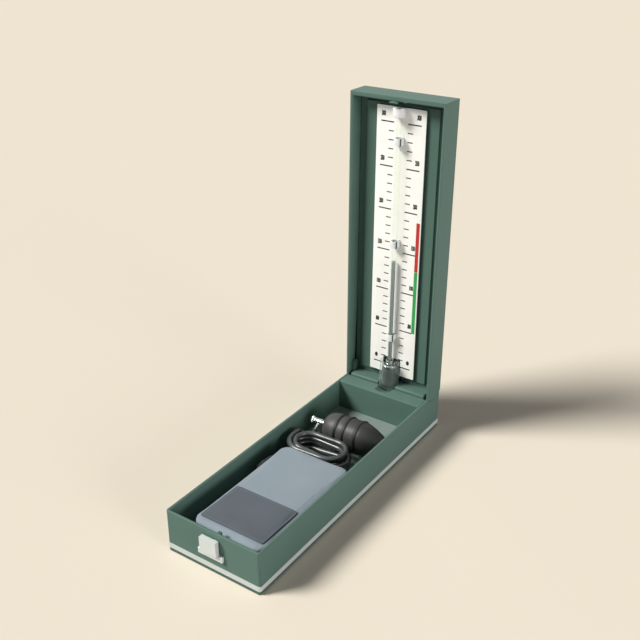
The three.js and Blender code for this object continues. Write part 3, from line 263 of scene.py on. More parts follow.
def clothLook(name, tone, deep, pitch):
    # plain weave: threads cross every pitch millimetres, one over the other in turn
    look, shader, where = newLook(name)
    x, y, z = axesOf(where)
    turns = fullTurn / (pitch * milli)
    across = (x * turns + z * turns).wave()
    down = (y * turns + z * turns * 0.7).wave()
    weave = across * down
    cloud = grain(where, 22.0, detail=4.0)
    fuzz = grain(where, 3200.0, detail=2.0)
    mottle = (weave * 0.16 + cloud * 0.55 + fuzz * 0.35 + 0.02).smooth(0.15, 0.85)
    feed(shader, Base_Color=mottle.blend(deep, tone), Roughness=fuzz * 0.2 + 0.72,
         Normal=bump(weave * 0.6 + fuzz * 0.8, strength=0.22, distance=0.0002),
         Sheen_Weight=0.15, Sheen_Roughness=0.5, Specular_IOR_Level=0.25)
    return look


def clearLook(name, tint, least, most, cloudy):
    # thin clear glass: straight through it, with a shine and a pale haze that grow towards its outline
    look, shader, where = newLook(name)
    smear = grain(where, 45.0)
    shine = where.node("BsdfGlossy", Color=(1.0, 1.0, 1.0, 1.0), Roughness=smear * 0.08 + 0.03)
    haze = where.node("BsdfDiffuse", Color=(0.62, 0.72, 0.67, 1.0))
    through = where.node("BsdfTransparent", Color=tint)
    facing = where.node("LayerWeight", out="Facing", Blend=0.5)
    share = facing.smooth(0.45, 1.0) * (most - least) + least
    rim = where.node("MixShader", i0=cloudy, i1=shine, i2=haze)
    mixed = where.node("MixShader", i0=share, i1=through, i2=rim)
    where.tree.links.new(mixed.socket, where.tree.nodes["Material Output"].inputs["Surface"])
    where.tree.nodes.remove(shader)
    return look


def clipLook(name, tone, deep, rough):
    # pale nylon with the dark slit where the clip's free end snaps shut
    look, shader, where = newLook(name)
    x = axesOf(where)[0]
    cloud = grain(where, 120.0)
    slit = abs(x - 0.0041).below(0.0005)
    base = cloud.smooth(0.3, 0.7).blend(deep, tone)
    feed(shader, Base_Color=slit.blend(base, colour(70, 76, 72)), Roughness=cloud * 0.1 + rough,
         Normal=bump(cloud, strength=0.05, distance=0.0002))
    return look


def hookLook(name):
    # hook tape: rows of tiny hooks, and a stitched seam a little inside its border
    look, shader, where = newLook(name)
    x, y = axesOf(where)[:2]
    left, right = (hookPatch[side] * milli for side in ("left", "right"))
    front, back = ((hookPatch[side] - caseMiddle[1]) * milli for side in ("front", "back"))
    turns = fullTurn / (hookPatch["hookPitch"] * milli)
    rows = (x * turns).wave() * (y * turns).wave()
    fuzz = grain(where, 1700.0)
    cloud = grain(where, 30.0)
    toSide = (x - left).least(right - x)
    toEnd = (y - front).least(back - y)
    along = toSide.below(toEnd)
    run = along * y + (1 - along) * x
    dash = (run * (1 / (hookPatch["stitch"] * milli))).part().below(hookPatch["stitchShare"])
    offSeam = abs(toSide.least(toEnd) - hookPatch["seamInside"] * milli)
    thread = offSeam.below(hookPatch["threadHalf"] * milli) * dash
    mottle = (rows * 0.2 + fuzz * 0.5 + cloud * 0.4).smooth(0.2, 0.8)
    base = mottle.blend(colour(72, 79, 85), colour(91, 98, 105))
    feed(shader, Base_Color=thread.blend(base, colour(97, 105, 113)), Roughness=fuzz * 0.2 + 0.75,
         Normal=bump(rows * 0.5 + fuzz + thread * 1.5, strength=0.35, distance=0.0004), Sheen_Weight=0.1)
    return look


def feltLook(name, tone, deep):
    # matted fibres over soft clouds
    look, shader, where = newLook(name)
    fibres = grain(where, 1400.0, detail=5.0, roughness=0.7)
    cloud = grain(where, 18.0)
    mottle = (fibres * 0.6 + cloud * 0.4).smooth(0.25, 0.75)
    feed(shader, Base_Color=mottle.blend(deep, tone), Roughness=fibres * 0.1 + 0.85,
         Normal=bump(fibres, strength=0.3, distance=0.0004), Sheen_Weight=0.2)
    return look


def plainLook(name, tone, deep, rough):
    # smooth moulded or printed surface with faint clouds and fine tooth
    look, shader, where = newLook(name)
    cloud = grain(where, 60.0, detail=4.0)
    fine = grain(where, 1500.0, detail=2.0)
    feed(shader, Base_Color=(cloud * 0.8 + fine * 0.2).smooth(0.3, 0.7).blend(deep, tone),
         Roughness=cloud * 0.1 + (rough - 0.05), Normal=bump(fine, strength=0.05, distance=0.0002))
    return look


looks = {
    "green": paintLook("greenPaint", colour(83, 109, 98), colour(88, 114, 103), 0.46),
    "greenEdge": paintLook("greenRubbedEdge", colour(84, 110, 99), colour(90, 116, 105), 0.44),
    # the bottom board's own dark green, also used as painted shade on the latch behind the wall
    "darkGreenAndShade": paintLook("darkGreenBoardAndShade", colour(72, 93, 84), colour(78, 100, 90), 0.55),
    "trim": metalLook("trimMetal", colour(206, 212, 205), 0.30, brushed=0.2, flat=0.85),
    "steel": metalLook("screwSteel", colour(186, 190, 188), 0.3),
    "chrome": metalLook("chromedBrass", colour(205, 208, 208), 0.1),
    "latch": metalLook("latchSatin", colour(222, 226, 222), 0.38, brushed=0.1, flat=0.7),
    "liner": feltLook("linerFelt", colour(127, 141, 134), colour(112, 127, 120)),
    "plate": plainLook("plateEnamel", colour(254, 252, 245), colour(252, 250, 241), 0.42),
    "ink": plainLook("scaleInk", colour(30, 31, 28), colour(22, 23, 21), 0.5),
    "redInk": plainLook("redInk", colour(200, 48, 38), colour(186, 38, 30), 0.45),
    "greenInk": plainLook("greenInk", colour(52, 170, 88), colour(42, 156, 76), 0.45),
    "tube": clearLook("tubeGlass", (0.975, 0.985, 0.97, 1), least=0.03, most=0.30, cloudy=0.2),
    "potGlass": clearLook("potGlass", (0.95, 0.975, 0.965, 1), least=0.08, most=0.75, cloudy=0.45),
    # painted reflection: both mercury looks are half plain colour instead of a mirror, pale bluish grey in
    # the tube and dark grey in the pot, standing for what each reflects
    "mercury": metalLook("mercury", colour(138, 149, 154), 0.32, along="z", flat=0.55),
    "pool": metalLook("poolMercury", colour(98, 97, 99), 0.25, along="z", flat=0.7),
    "nylon": plainLook("whiteNylon", colour(236, 236, 232), colour(226, 227, 223), 0.38),
    "clip": clipLook("clipNylon", colour(234, 237, 233), colour(223, 227, 223), 0.30),
    "filter": feltLook("filterFelt", colour(222, 219, 208), colour(200, 196, 184)),
    "hose": rubberLook("hoseRubber", colour(56, 60, 59), 0.26, 0.6)[0],
    "bulb": bulbLook("bulbRubber", colour(62, 61, 59), 0.45, 0.30),
    "bladder": rubberLook("bladderRubber", colour(120, 100, 86), 0.6)[0],
    "cuff": clothLook("cuffCloth", colour(141, 153, 160), colour(129, 141, 149), 0.7),
    "hooks": hookLook("hookTape"),
}
print("materials made:", len(looks))


# Mesh helpers

def toMetres(points):
    # millimetres from the front of the base become metres round its middle
    return (np.asarray(points, float).reshape(-1, 3) - caseMiddle) * milli


def corners(mesh):
    # the points of a mesh as rows of x, y and z, in metres
    flat = np.zeros(len(mesh.vertices) * 3)
    mesh.vertices.foreach_get("co", flat)
    return flat.reshape(-1, 3)


def moveCorners(mesh, points):
    # the points of a mesh go to new places, in metres
    mesh.vertices.foreach_set("co", points.ravel())
    mesh.update()


def makePiece(name, points, faces, look, sharp=40.0):
    # points in millimetres and faces, with equal points merged and faces turned outward
    mesh = bpy.data.meshes.new(name)
    faces = [tuple(face) for face in np.asarray(faces, dtype=object).tolist()]
    mesh.from_pydata(toMetres(points).tolist(), [], faces)
    work = bmesh.new()
    work.from_mesh(mesh)
    bmesh.ops.remove_doubles(work, verts=work.verts, dist=1e-6)
    bmesh.ops.recalc_face_normals(work, faces=work.faces)
    work.to_mesh(mesh)
    work.free()
    return dress(name, mesh, look, sharp)


def relook(mesh, look):
    # one material all over, and smooth shading
    mesh.materials.clear()
    mesh.materials.append(looks[look])
    mesh.polygons.foreach_set("use_smooth", np.ones(len(mesh.polygons), bool))


def dress(name, mesh, look, sharp):
    # an object at the origin with one material, shaded smooth but for edges past an angle in degrees
    relook(mesh, look)
    mesh.set_sharp_from_angle(angle=math.radians(sharp))
    return added(name, mesh)


def settle(piece, body, slot, *replaced):
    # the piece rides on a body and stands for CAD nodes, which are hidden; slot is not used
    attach(piece, body)
    if replaced:
        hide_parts(*replaced)
    return piece


def gridFaces(rows, columns):
    # four-sided faces between neighbours in rows of points, where each row is closed on itself
    row, column = np.meshgrid(np.arange(rows - 1), np.arange(columns), indexing="ij")
    here, above = row * columns, (row + 1) * columns
    beside = (column + 1) % columns
    quads = [here + column, here + beside, above + beside, above + column]
    return np.stack(quads, axis=-1).reshape(-1, 4)


def stackFaces(rings, bottom):
    # sides between stacked rings, one face over the last of them and, if asked, one under the first
    size = len(rings[0])
    last = size * (len(rings) - 1)
    ends = [list(range(size))[::-1]] if bottom else []
    return gridFaces(len(rings), size).tolist() + ends + [list(range(last, last + size))]


def eased(profile, radius, steps):
    # rounds each inner corner of an open profile with a quadratic curve, which starts a radius away,
    # or at 0.45 of a side that is too short for it
    points = np.asarray(profile, float)
    share = np.linspace(0, 1, steps + 1)[:, None]
    rounded = [points[:1]]
    for before, corner, after in zip(points[:-2], points[1:-1], points[2:]):
        back, ahead = before - corner, after - corner
        backLength, aheadLength = np.linalg.norm(back), np.linalg.norm(ahead)
        reach = min(radius, backLength * 0.45, aheadLength * 0.45)
        start = corner + back / backLength * reach
        end = corner + ahead / aheadLength * reach
        rounded.append((1 - share) ** 2 * start + 2 * share * (1 - share) * corner + share ** 2 * end)
    rounded.append(points[-1:])
    return np.concatenate(rounded)


def circle(sides):
    # angles evenly spaced round a circle
    return np.linspace(0, fullTurn, sides, endpoint=False)


def roundAxis(radius, height, centre, axis, sides):
    # rings of points: centre + height along the axis + radius round it
    level = height + 0 * circle(sides)
    cosine, sine = radius * np.cos(circle(sides)), radius * np.sin(circle(sides))
    stack = {"x": (level, cosine, sine), "z": (cosine, sine, level)}[axis]
    return np.stack(stack, axis=-1) + centre


def turned(name, profile, centre, axis, look, sides=48, sharp=40.0):
    # a profile of radius and height, carried round an axis
    profile = np.asarray(profile, float)
    points = roundAxis(profile[:, 0, None], profile[:, 1, None], centre, axis, sides)
    return makePiece(name, points, gridFaces(len(profile), sides), look, sharp)


def flowing(points, step):
    # a curve through the points: between two of them the usual cubic of their neighbours' slopes
    points = np.asarray(points, float)
    longer = np.concatenate([[2 * points[0] - points[1]], points, [2 * points[-1] - points[-2]]])
    pieces = []
    for before, start, end, after in zip(longer, longer[1:], longer[2:], longer[3:]):
        count = max(1, int(round(np.linalg.norm(end - start) / step)))
        share = np.linspace(0, 1, count, endpoint=False)[:, None]
        pieces.append(0.5 * (2 * start + (end - before) * share
                             + (2 * before - 5 * start + 4 * end - after) * share ** 2
                             + (3 * start - before - 3 * end + after) * share ** 3))
    return np.concatenate(pieces + [points[-1:]])


def sweptTube(path, radii, sides):
    # a ring of points carried along a path, each ring square to it, closed at both ends
    radii = np.broadcast_to(radii, len(path))
    along = np.gradient(path, axis=0)
    along /= np.linalg.norm(along, axis=1, keepdims=True)
    side = np.cross((0.0, 0.0, 1.0), along)
    side /= np.linalg.norm(side, axis=1, keepdims=True)
    rise = np.cross(along, side)
    cosine, sine = np.cos(circle(sides))[None, :, None], np.sin(circle(sides))[None, :, None]
    points = path[:, None] + (cosine * side[:, None] + sine * rise[:, None]) * radii[:, None, None]
    points = np.concatenate([np.repeat(path[:1, None], sides, 1), points,
                             np.repeat(path[-1:, None], sides, 1)])
    return points, gridFaces(len(path) + 2, sides)


def roundedOutline(x0, x1, y0, y1, corner, steps, perSide=0):
    # points round a rectangle with round corners, and perSide points along each straight side
    angle = np.linspace(0, np.pi / 2, steps + 1)
    centres = [(x1 - corner, y0 + corner, -np.pi / 2), (x1 - corner, y1 - corner, 0.0),
               (x0 + corner, y1 - corner, np.pi / 2), (x0 + corner, y0 + corner, np.pi)]
    arcs = [np.stack([x + corner * np.cos(angle + start), y + corner * np.sin(angle + start)], -1)
            for x, y, start in centres]
    share = np.linspace(0, 1, perSide + 2)[1:-1, None]
    sides = [arc[-1] * (1 - share) + after[0] * share for arc, after in zip(arcs, arcs[1:] + arcs[:1])]
    return np.concatenate([part for pair in zip(arcs, sides) for part in pair])


def raised(outline, height):
    # a flat outline at a height
    return np.concatenate([outline, np.full((len(outline), 1), height)], axis=1)


# rounding of the CAD copies: width and shortest edge in millimetres, least angle in degrees
rounding = {
    "base_case": (1.5, 12.0, 60), "shelf_block": (1.2, 3.0, 60), "bottom_board": (0.6, 3.0, 60),
    "trim_band": (1.4, 3.0, 60), "hinge_ear_left": (0.5, 3.0, 50), "hinge_ear_right": (0.5, 3.0, 50),
    "lid_case": (1.5, 6.0, 60), "lid_back_board": (0.8, 4.0, 50), "lid_catch": (0.3, 1.5, 50),
    "latch_rail": (0.5, 2.0, 50), "latch_slider": (0.7, 2.0, 50), "tube_clip_1": (0.5, 1.5, 50),
    "tube_clip_2": (0.5, 1.5, 50), "tube_clip_3": (0.5, 1.5, 50),
}


def easedCopy(node, look, body, slot, edgeLook=None):
    # the CAD solid with its doubles merged, flat faces joined and its longer sharp edges rounded
    width, longer, past = rounding[node]
    mesh = nodes[node].data.copy()
    work = bmesh.new()
    work.from_mesh(mesh)
    bmesh.ops.remove_doubles(work, verts=work.verts, dist=2e-6)
    bmesh.ops.dissolve_limit(work, angle_limit=math.radians(0.6), verts=work.verts, edges=work.edges)
    weight = work.edges.layers.float.new("bevel_weight_edge")
    for edge in work.edges:
        if len(edge.link_faces) == 2 and edge.calc_length() > longer * milli:
            edge[weight] = float(edge.calc_face_angle(0.0) > math.radians(past))
    work.to_mesh(mesh)
    work.free()
    first, *others = node.split("_")
    piece = dress(first + "".join(word.title() for word in others) + "Shell", mesh, look, 40.0)
    if edgeLook:
        mesh.materials.append(looks[edgeLook])
    bevel = piece.modifiers.new("edges", "BEVEL")
    bevel.limit_method = "WEIGHT"
    bevel.width = width * milli
    bevel.segments = 3
    bevel.use_clamp_overlap = False
    bevel.material = 1 if edgeLook else -1
    bevel.harden_normals = True
    piece.modifiers.new("normals", "WEIGHTED_NORMAL").keep_sharp = True
    return settle(piece, body, slot, node)


def asShown(piece):
    # the object with its modifiers worked in
    bpy.context.view_layer.update()
    return piece.evaluated_get(bpy.context.evaluated_depsgraph_get())


def frozen(piece):
    # the piece's modifiers are worked into its mesh and taken off
    mesh = bpy.data.meshes.new_from_object(asShown(piece))
    piece.modifiers.clear()
    piece.data = mesh


# The hose comes first: from the cuff's elbow, through the coil, to the release valve

hose = {
    "radius": 3.0, "pitch": 6.5, "coilX": -7.4, "coilY": 190.0, "straight": 15.0, "outer": 20.8,
    "turnsPerLayer": 1.25, "layers": 4, "stepsPerTurn": 24, "lead": 6.0, "sides": 18, "step": 2.0,
    "cuffRoute": [(-44.5, 138.5, 28), (-44.5, 145, 28), (-44.3, 152, 26.7), (-44, 159, 23.5),
                  (-43.6, 166, 19.6), (-43.3, 173, 16.9), (-43.2, 179, 16.1), (-43.2, 183.7, 16.1)],
    "valveRoute": [(-43.2, 196.4, 35.6), (-43.2, 198, 35.6), (-43, 201.4, 34.7), (-42.5, 204.7, 32.3),
                   (-41.6, 208, 28.6), (-40, 212.1, 25.2), (-38, 217.2, 24.1), (-37.1, 220.3, 24.5),
                   (-36.6, 223.2, 25.7), (-36.6, 224.5, 26.45)],
}


def coilPath():
    # a straight-sided oval whose radius shrinks and grows again by a pitch a turn, layer over layer;
    # the straight sides are the second and the fifth sixth of a turn
    perLayer = hose["turnsPerLayer"]
    turns = np.arange(int(round(perLayer * hose["layers"] * hose["stepsPerTurn"])) + 1) / hose["stepsPerTurn"]
    layer = np.minimum(np.floor(turns / perLayer), hose["layers"] - 1)
    within = turns - layer * perLayer
    radius = hose["outer"] - hose["pitch"] * np.where(layer % 2 == 0, within, perLayer - within)
    sixths = np.array([0, 1, 2, 4, 5, 6]) / 6
    angle = np.radians(np.interp(turns % 1, sixths, (180, 90, 90, -90, -90, -180)))
    centre = hose["straight"] * np.interp(turns % 1, sixths, (-1, -1, 1, 1, -1, -1))
    climb = sum(np.clip((turns - done * perLayer) * 2 + 0.5, 0, 1) for done in range(1, hose["layers"]))
    points = np.stack([hose["coilX"] + centre + radius * np.cos(angle),
                       hose["coilY"] + radius * np.sin(angle),
                       case["softFloor"] + hose["radius"] + hose["pitch"] * climb], axis=-1)
    lead = (0.0, hose["lead"], 0.0)
    return np.concatenate([[points[0] - lead], points, [points[-1] + lead]])


hosePath = flowing(np.concatenate([hose["cuffRoute"], coilPath(), hose["valveRoute"]]), hose["step"])
hoseTube = makePiece("rubberHose", *sweptTube(hosePath, hose["radius"], hose["sides"]), "hose", 70.0)
settle(hoseTube, "base", "black_rubber", "hose_to_cuff", "hose_coil", "hose_to_valve")


# Case: rounded copies of the painted pieces and of the bands at the foot

for node in ("base_case", "shelf_block"):
    easedCopy(node, "green", "base", "green_shell", "greenEdge")
easedCopy("bottom_board", "darkGreenAndShade", "base", "dark_green_board")
easedCopy("trim_band", "trim", "base", "silver_trim")
for node in ("hinge_ear_left", "hinge_ear_right"):
    easedCopy(node, "green", "base", "green_shell", "greenEdge")
for node in ("lid_case", "lid_back_board"):
    easedCopy(node, "green", "lid", "green_shell", "greenEdge")
easedCopy("lid_catch", "green", "lid", "green_catch", "greenEdge")
print("case made")


# Latch: bright in front of the wall; behind it painted shade in dark green, and less rounded

latch = {"wallInside": 1.0, "innerRounding": 0.3}
easedCopy("latch_rail", "latch", "base", "chrome")
slider = easedCopy("latch_slider", "latch", "latch", "latch_chrome").data
# painted shade: the faces behind the wall take the dark green of the bottom board
slider.materials.append(looks["darkGreenAndShade"])
behindWall = (latch["wallInside"] - caseMiddle[1]) * milli
for face in slider.polygons:
    face.material_index = int(face.center.y > behindWall)
for edge, weight in zip(slider.edges, slider.attributes["bevel_weight_edge"].data):
    if max(slider.vertices[corner].co.y for corner in edge.vertices) > behindWall:
        weight.value *= latch["innerRounding"]


# Scale plate's lines, numbers and two bands

scale = {
    "tickFrom": 8.5, "tickTo": 14.7, "majorTo": 24.4, "thin": 1.15, "thick": 1.35, "proud": 0.07,
    "sunk": 0.02, "tickEvery": 10, "numberEvery": 50, "numberX": 21.4, "numberUp": 8.2,
    "numberSize": (5.0, 5.8), "numberWide": (0.78, 0.9, 1.0), "top": 300, "stroke": (0.11, 0.09, 0.07),
    "bandX": (24.2, 28.4), "bandGap": 0.1, "red": (130, 190), "green": (50, 130),
}


def printedBars(bars):
    # each bar is x0, x1, z0, z1: eight corners just proud of the plate
    depths = case["plateY"] + scale["sunk"], case["plateY"] - scale["proud"]
    points = np.array([(bar[across], depth, bar[up]) for bar in bars for depth in depths
                       for across, up in ((0, 2), (1, 2), (1, 3), (0, 3))])
    box = np.array([(0, 1, 2, 3), (7, 6, 5, 4), (0, 4, 5, 1), (1, 5, 6, 2), (2, 6, 7, 3), (3, 7, 4, 0)])
    faces = (np.arange(len(bars))[:, None, None] * 8 + box).reshape(-1, 4)
    return points, faces


def heightOf(pressure):
    # how high a pressure in mmHg stands on the scale
    return case["zero"] + case["perMmHg"] * pressure


bars = []
for pressure in range(0, scale["top"] + 1, scale["tickEvery"]):
    major = pressure % scale["numberEvery"] == 0
    half = (scale["thick"] if major else scale["thin"]) / 2
    reach = scale["majorTo"] if major else scale["tickTo"]
    z = heightOf(pressure)
    bars.append((-reach, -scale["tickFrom"], z - half, z + half))
    bars.append((scale["tickFrom"], reach, z - half, z + half))
settle(makePiece("scaleLines", *printedBars(bars), "ink"), "lid", "scale_white")
for tint in ("red", "green"):
    low, high = (heightOf(pressure) for pressure in scale[tint])
    band = printedBars([(*scale["bandX"], low + scale["bandGap"], high - scale["bandGap"])])
    settle(makePiece(tint + "Band", *band, tint + "Ink"), "lid", "scale_white")


def numberMesh(text):
    # the outline of a number as points and faces, scaled to a box of 1 by 1 by 1
    letters = bpy.data.curves.new("number", "FONT")
    letters.body = text
    letters.extrude = 0.5
    letters.offset = scale["stroke"][len(text) - 1]
    letters.resolution_u = 3
    thing = added("number", letters)
    mesh = bpy.data.meshes.new_from_object(asShown(thing))
    bpy.data.objects.remove(thing)
    work = bmesh.new()
    work.from_mesh(mesh)
    bmesh.ops.remove_doubles(work, verts=work.verts, dist=1e-5)
    points = np.array([vertex.co[:] for vertex in work.verts])
    faces = [[vertex.index for vertex in face.verts] for face in work.faces]
    work.free()
    low, high = points.min(0), points.max(0)
    return (points - low) / (high - low), faces


numberPoints, numberFaces, used = [], [], 0
for pressure in range(0, scale["top"] + 1, scale["numberEvery"]):
    glyph, faces = numberMesh(str(pressure))
    width = scale["numberSize"][0] * scale["numberWide"][len(str(pressure)) - 1]
    for side in (-1, 1):
        x = side * scale["numberX"] + (glyph[:, 0] - 0.5) * width
        z = heightOf(pressure) + scale["numberUp"] + (glyph[:, 1] - 0.5) * scale["numberSize"][1]
        y = case["plateY"] + scale["sunk"] - glyph[:, 2] * (scale["proud"] + scale["sunk"])
        numberPoints.append(np.stack([x, y, z], -1))
        numberFaces += [[index + used for index in face] for face in faces]
        used += len(glyph)
numberMark = makePiece("scaleNumbers", np.concatenate(numberPoints), numberFaces, "ink")
settle(numberMark, "lid", "scale_white")
print("scale drawn")


# Glass tube and pot with their mercury

glassTube = {
    "radius": 3.5, "bore": 2.4, "bottom": 53.0, "top": 377.0, "slope": 0.4, "reading": 140, "dome": 1.1,
    "threadGap": 0.1, "threadBelow": 0.3,
}
pot = {
    "radius": 11.4, "bore": 9.0, "bottom": 47.5, "top": 83.0, "floor": 2.4, "level": 71.5, "poolGap": 0.2,
    "poolRise": 0.5, "poolRim": 0.9, "poolHole": 3.8, "holeRim": 4.4, "holeFloor": 52.4,
}
axis = (0.0, case["tubeY"], 0.0)


def tubeProfile():
    # up the bore, over the rim and down the outside, with small slopes at the edges
    radius, bore, low, high, slope = (glassTube[key] for key in ("radius", "bore", "bottom", "top", "slope"))
    return [(bore, low), (bore, high - slope), (bore + slope, high), (radius - slope, high),
            (radius, high - slope), (radius, low + slope), (radius - slope, low), (bore, low)]


def threadProfile():
    # the mercury in the bore; its top falls by dome * (1 - sine) as its radius grows with the cosine
    radius, low = glassTube["bore"] - glassTube["threadGap"], glassTube["bottom"] - glassTube["threadBelow"]
    turn = np.linspace(0, np.pi / 2, 7)
    top = heightOf(glassTube["reading"]) - glassTube["dome"] * (1 - np.sin(turn))
    return [(0, low), (radius, low), *np.stack([radius * np.cos(turn), top], -1).tolist()]


def potProfile():
    # out over the foot and up to the rim, then down inside to the floor
    radius, bore, low, high = (pot[key] for key in ("radius", "bore", "bottom", "top"))
    outside = eased([(0, low), (radius, low), (radius, high), (bore, high)], 2.4, 6)
    inside = eased([(bore, high), (bore, low + pot["floor"]), (0, low + pot["floor"])], 2.0, 6)
    return np.concatenate([outside, inside[1:]])


def poolProfile():
    # the mercury in the pot, raised a little between its rim and the hole that the tube stands in
    side, low = pot["bore"] - pot["poolGap"], pot["bottom"] + pot["floor"] + pot["poolGap"]
    level, rise, hole = pot["level"], pot["level"] + pot["poolRise"], pot["poolHole"]
    filled = eased([(0, low), (side, low), (side, level), (side - pot["poolRim"], rise),
                    (pot["holeRim"], rise), (hole, level)], 1.8, 5)
    return np.concatenate([filled, [(hole, pot["holeFloor"]), (0, pot["holeFloor"])]])


for name, profile, look, slot, node in (
        ("glassTube", tubeProfile(), "tube", "clear_glass", "glass_tube"),
        ("mercuryThread", threadProfile(), "mercury", "mercury", "mercury_column"),
        ("potGlass", potProfile(), "potGlass", "clear_glass", "mercury_pot"),
        ("mercuryPool", poolProfile(), "pool", "mercury", "mercury_pool")):
    settle(turned(name, profile, axis, "z", look), "lid", slot, node)
print("tube and pot made")


# Cap, clips and the small turned pieces, as pairs of radius and height

fittings = {
    "cap": [(3.8, 372.2), (6.9, 372.2), (6.9, 382.0), (0.8, 382.0), (0.8, 380.0)],
    "capInside": [(3.8, 379.8), (3.8, 372.2)], "capGap": 0.3,
    "collar": [(3.8, 78.2), (4.5, 78.2), (4.5, 82.5), (3.8, 82.5), (3.8, 78.2)],
    "plug": [(3.8, 72.5), (8.7, 72.5), (8.7, 77.0), (3.8, 77.0), (3.8, 72.5)],
    "nipple": [(0, 76.5), (1.6, 76.5), (1.6, 78.6), (1.9, 79.0), (1.5, 80.2), (1.9, 80.6), (1.4, 82.5),
               (0.8, 82.5), (0.8, 77.6), (0, 77.6)],
    "nippleBehind": 6.8,
}

# the cap's back is flat, a little before the plate
capProfile = np.concatenate([eased(fittings["cap"], 0.8, 4), fittings["capInside"]])
capPoints = roundAxis(capProfile[:, 0, None], capProfile[:, 1, None], axis, "z", 48)
capPoints[..., 1] = np.minimum(capPoints[..., 1], case["plateY"] - fittings["capGap"])
settle(makePiece("tubeCap", capPoints, gridFaces(len(capProfile), 48), "nylon"),
       "lid", "nylon", "tube_top_cap")
for node in ("tube_clip_1", "tube_clip_2", "tube_clip_3"):
    easedCopy(node, "clip", "lid", "nylon")
settle(turned("collar", eased(fittings["collar"], 0.3, 2), axis, "z", "chrome"),
       "lid", "chrome", "tube_collar")
settle(turned("plug", eased(fittings["plug"], 0.5, 3), axis, "z", "chrome"), "lid", "chrome")
nippleAxis = (0, case["tubeY"] + fittings["nippleBehind"], 0)
settle(turned("airNipple", fittings["nipple"], nippleAxis, "z", "chrome", 24), "lid", "chrome", "pot_plug")


# Squeeze bulb with its ribs, and the valves at its ends

bulbMiddle = (0, bulb["y"], bulb["z"])


def bulbRadius(x):
    # left of the first rib a full rounded end down to the neck, right of the last one a soft cone
    first, last = bulb["ribs"][0], bulb["ribs"][-1]
    toNeck = np.clip((first - x) / (first - bulb["left"]), 0, 1)
    toTail = np.clip((x - last) / (bulb["right"] - last), 0, 1)
    full = (1 - toNeck ** bulb["full"]) ** (1 / bulb["full"])
    cone = 1 - toTail ** bulb["taper"]
    radius = np.where(x < first, bulb["neck"] + (bulb["body"] - bulb["neck"]) * full, bulb["body"])
    return np.where(x > last, bulb["tail"] + (bulb["body"] - bulb["tail"]) * cone, radius)


def makeBulb():
    # radius along X, with ribs between shallow grooves and ends rounded over a millimetre; then back
    # through the hollow
    left, right, bore = bulb["left"], bulb["right"], bulb["bore"]
    x = left + (right - left) * np.linspace(0, 1, 150)
    radius = bulbRadius(x)
    for rib, size in zip(bulb["ribs"], bulb["ribSizes"]):
        off = np.abs(x - rib)
        radius = radius + bulb["rib"] * np.sqrt(1 - np.clip(off / (bulb["ribHalf"] * size), 0, 1) ** 2)
        radius -= bulb["groove"] * np.exp(-((off - bulb["grooveOff"]) / bulb["grooveHalf"]) ** 2)
    edge = np.clip(np.minimum(x - left, right - x), 0, 1)
    radius = radius - bulb["endRound"] * (1 - np.sqrt(1 - (1 - edge) ** 2))
    hollow = np.linspace(right - bulb["hollowRight"], left + bulb["hollowLeft"], 24)
    within = np.maximum(bulbRadius(hollow) - bulb["wall"], bore)
    profile = np.concatenate([[(bore, left)], np.stack([radius, x], -1), [(bore, right)],
                              np.stack([within, hollow], -1),
                              [(bore, left + bulb["boreLength"]), (bore, left)]])
    return turned("squeezeBulb", profile, bulbMiddle, "x", "bulb", 72, 60.0)


settle(makeBulb(), "base", "black_rubber", "squeeze_bulb")

# pairs of radius and x, or of the place along the nipple and radius for its barbs
valve = {
    "left": -43.1, "right": -27.1, "bore": 2.7, "boreLength": 6,
    "body": [(1.7, -43.1), (4.0, -43.1), (4.0, -40.2), (3.3, -39.6), (3.3, -38.9), (4.0, -38.4),
             (4.0, -32.4), (3.4, -31.8), (3.4, -28.8), (4.8, -28.3), (4.8, -27.1), (2.7, -27.1)],
    "nippleX": -36.6, "nippleAngle": 30.0,
    "barbs": [(0.0, 2.3), (4.6, 2.3), (5.0, 2.7), (6.2, 2.1), (6.6, 2.6), (7.8, 2.1), (8.2, 2.6),
              (9.4, 2.0), (9.8, 2.4), (11.0, 1.9)],
}
knob = {
    "left": -47.6, "right": -43.4, "radius": 4.2, "needle": 1.5, "needleLength": 8, "grooves": 20,
    "groove": 0.45, "grooveFrom": 3.4, "grooveOver": 0.6, "sides": 160,
}
inlet = {
    "stem": [(0, 45.6), (2.7, 45.6), (2.7, 51.6)], "cupFloor": [(0, 52.4)],
    "cup": [(2.7, 51.6), (4.6, 51.6), (4.6, 53.5), (0.8, 53.5), (0.8, 52.4)],
}

boreEnd = valve["right"] + valve["boreLength"]
valveProfile = np.concatenate([[(0, valve["left"])], eased(valve["body"], 0.35, 3),
                               [(valve["bore"], boreEnd), (0, boreEnd)]])
settle(turned("valveBody", valveProfile, bulbMiddle, "x", "chrome"), "base", "chrome", "release_valve")
tilt = math.radians(valve["nippleAngle"])
away = np.array([0.0, -math.cos(tilt), -math.sin(tilt)])
stations, barbs = np.array(valve["barbs"]).T
spout = np.array([valve["nippleX"], bulb["y"], bulb["z"]]) + stations[:, None] * away
settle(makePiece("valveSpout", *sweptTube(spout, barbs, 28), "chrome"), "base", "chrome")


def makeKnob():
    # a turned knob whose rim dips by groove * (1 - |cosine|) twenty times round it, with its needle
    left, right, needle = knob["left"], knob["right"], knob["needle"]
    profile = eased([(0, left), (knob["radius"], left), (knob["radius"], right), (needle, right),
                     (needle, right + knob["needleLength"]), (0, right + knob["needleLength"])], 0.45, 3)
    radius = profile[:, 0, None] + 0 * circle(knob["sides"])
    dip = 1 - np.abs(np.cos(circle(knob["sides"]) * knob["grooves"] / 2))
    radius = radius - np.clip((radius - knob["grooveFrom"]) / knob["grooveOver"], 0, 1) * dip * knob["groove"]
    points = roundAxis(radius, profile[:, 1, None], bulbMiddle, "x", knob["sides"])
    return makePiece("thumbScrew", points, gridFaces(len(profile), knob["sides"]), "chrome", 30.0)


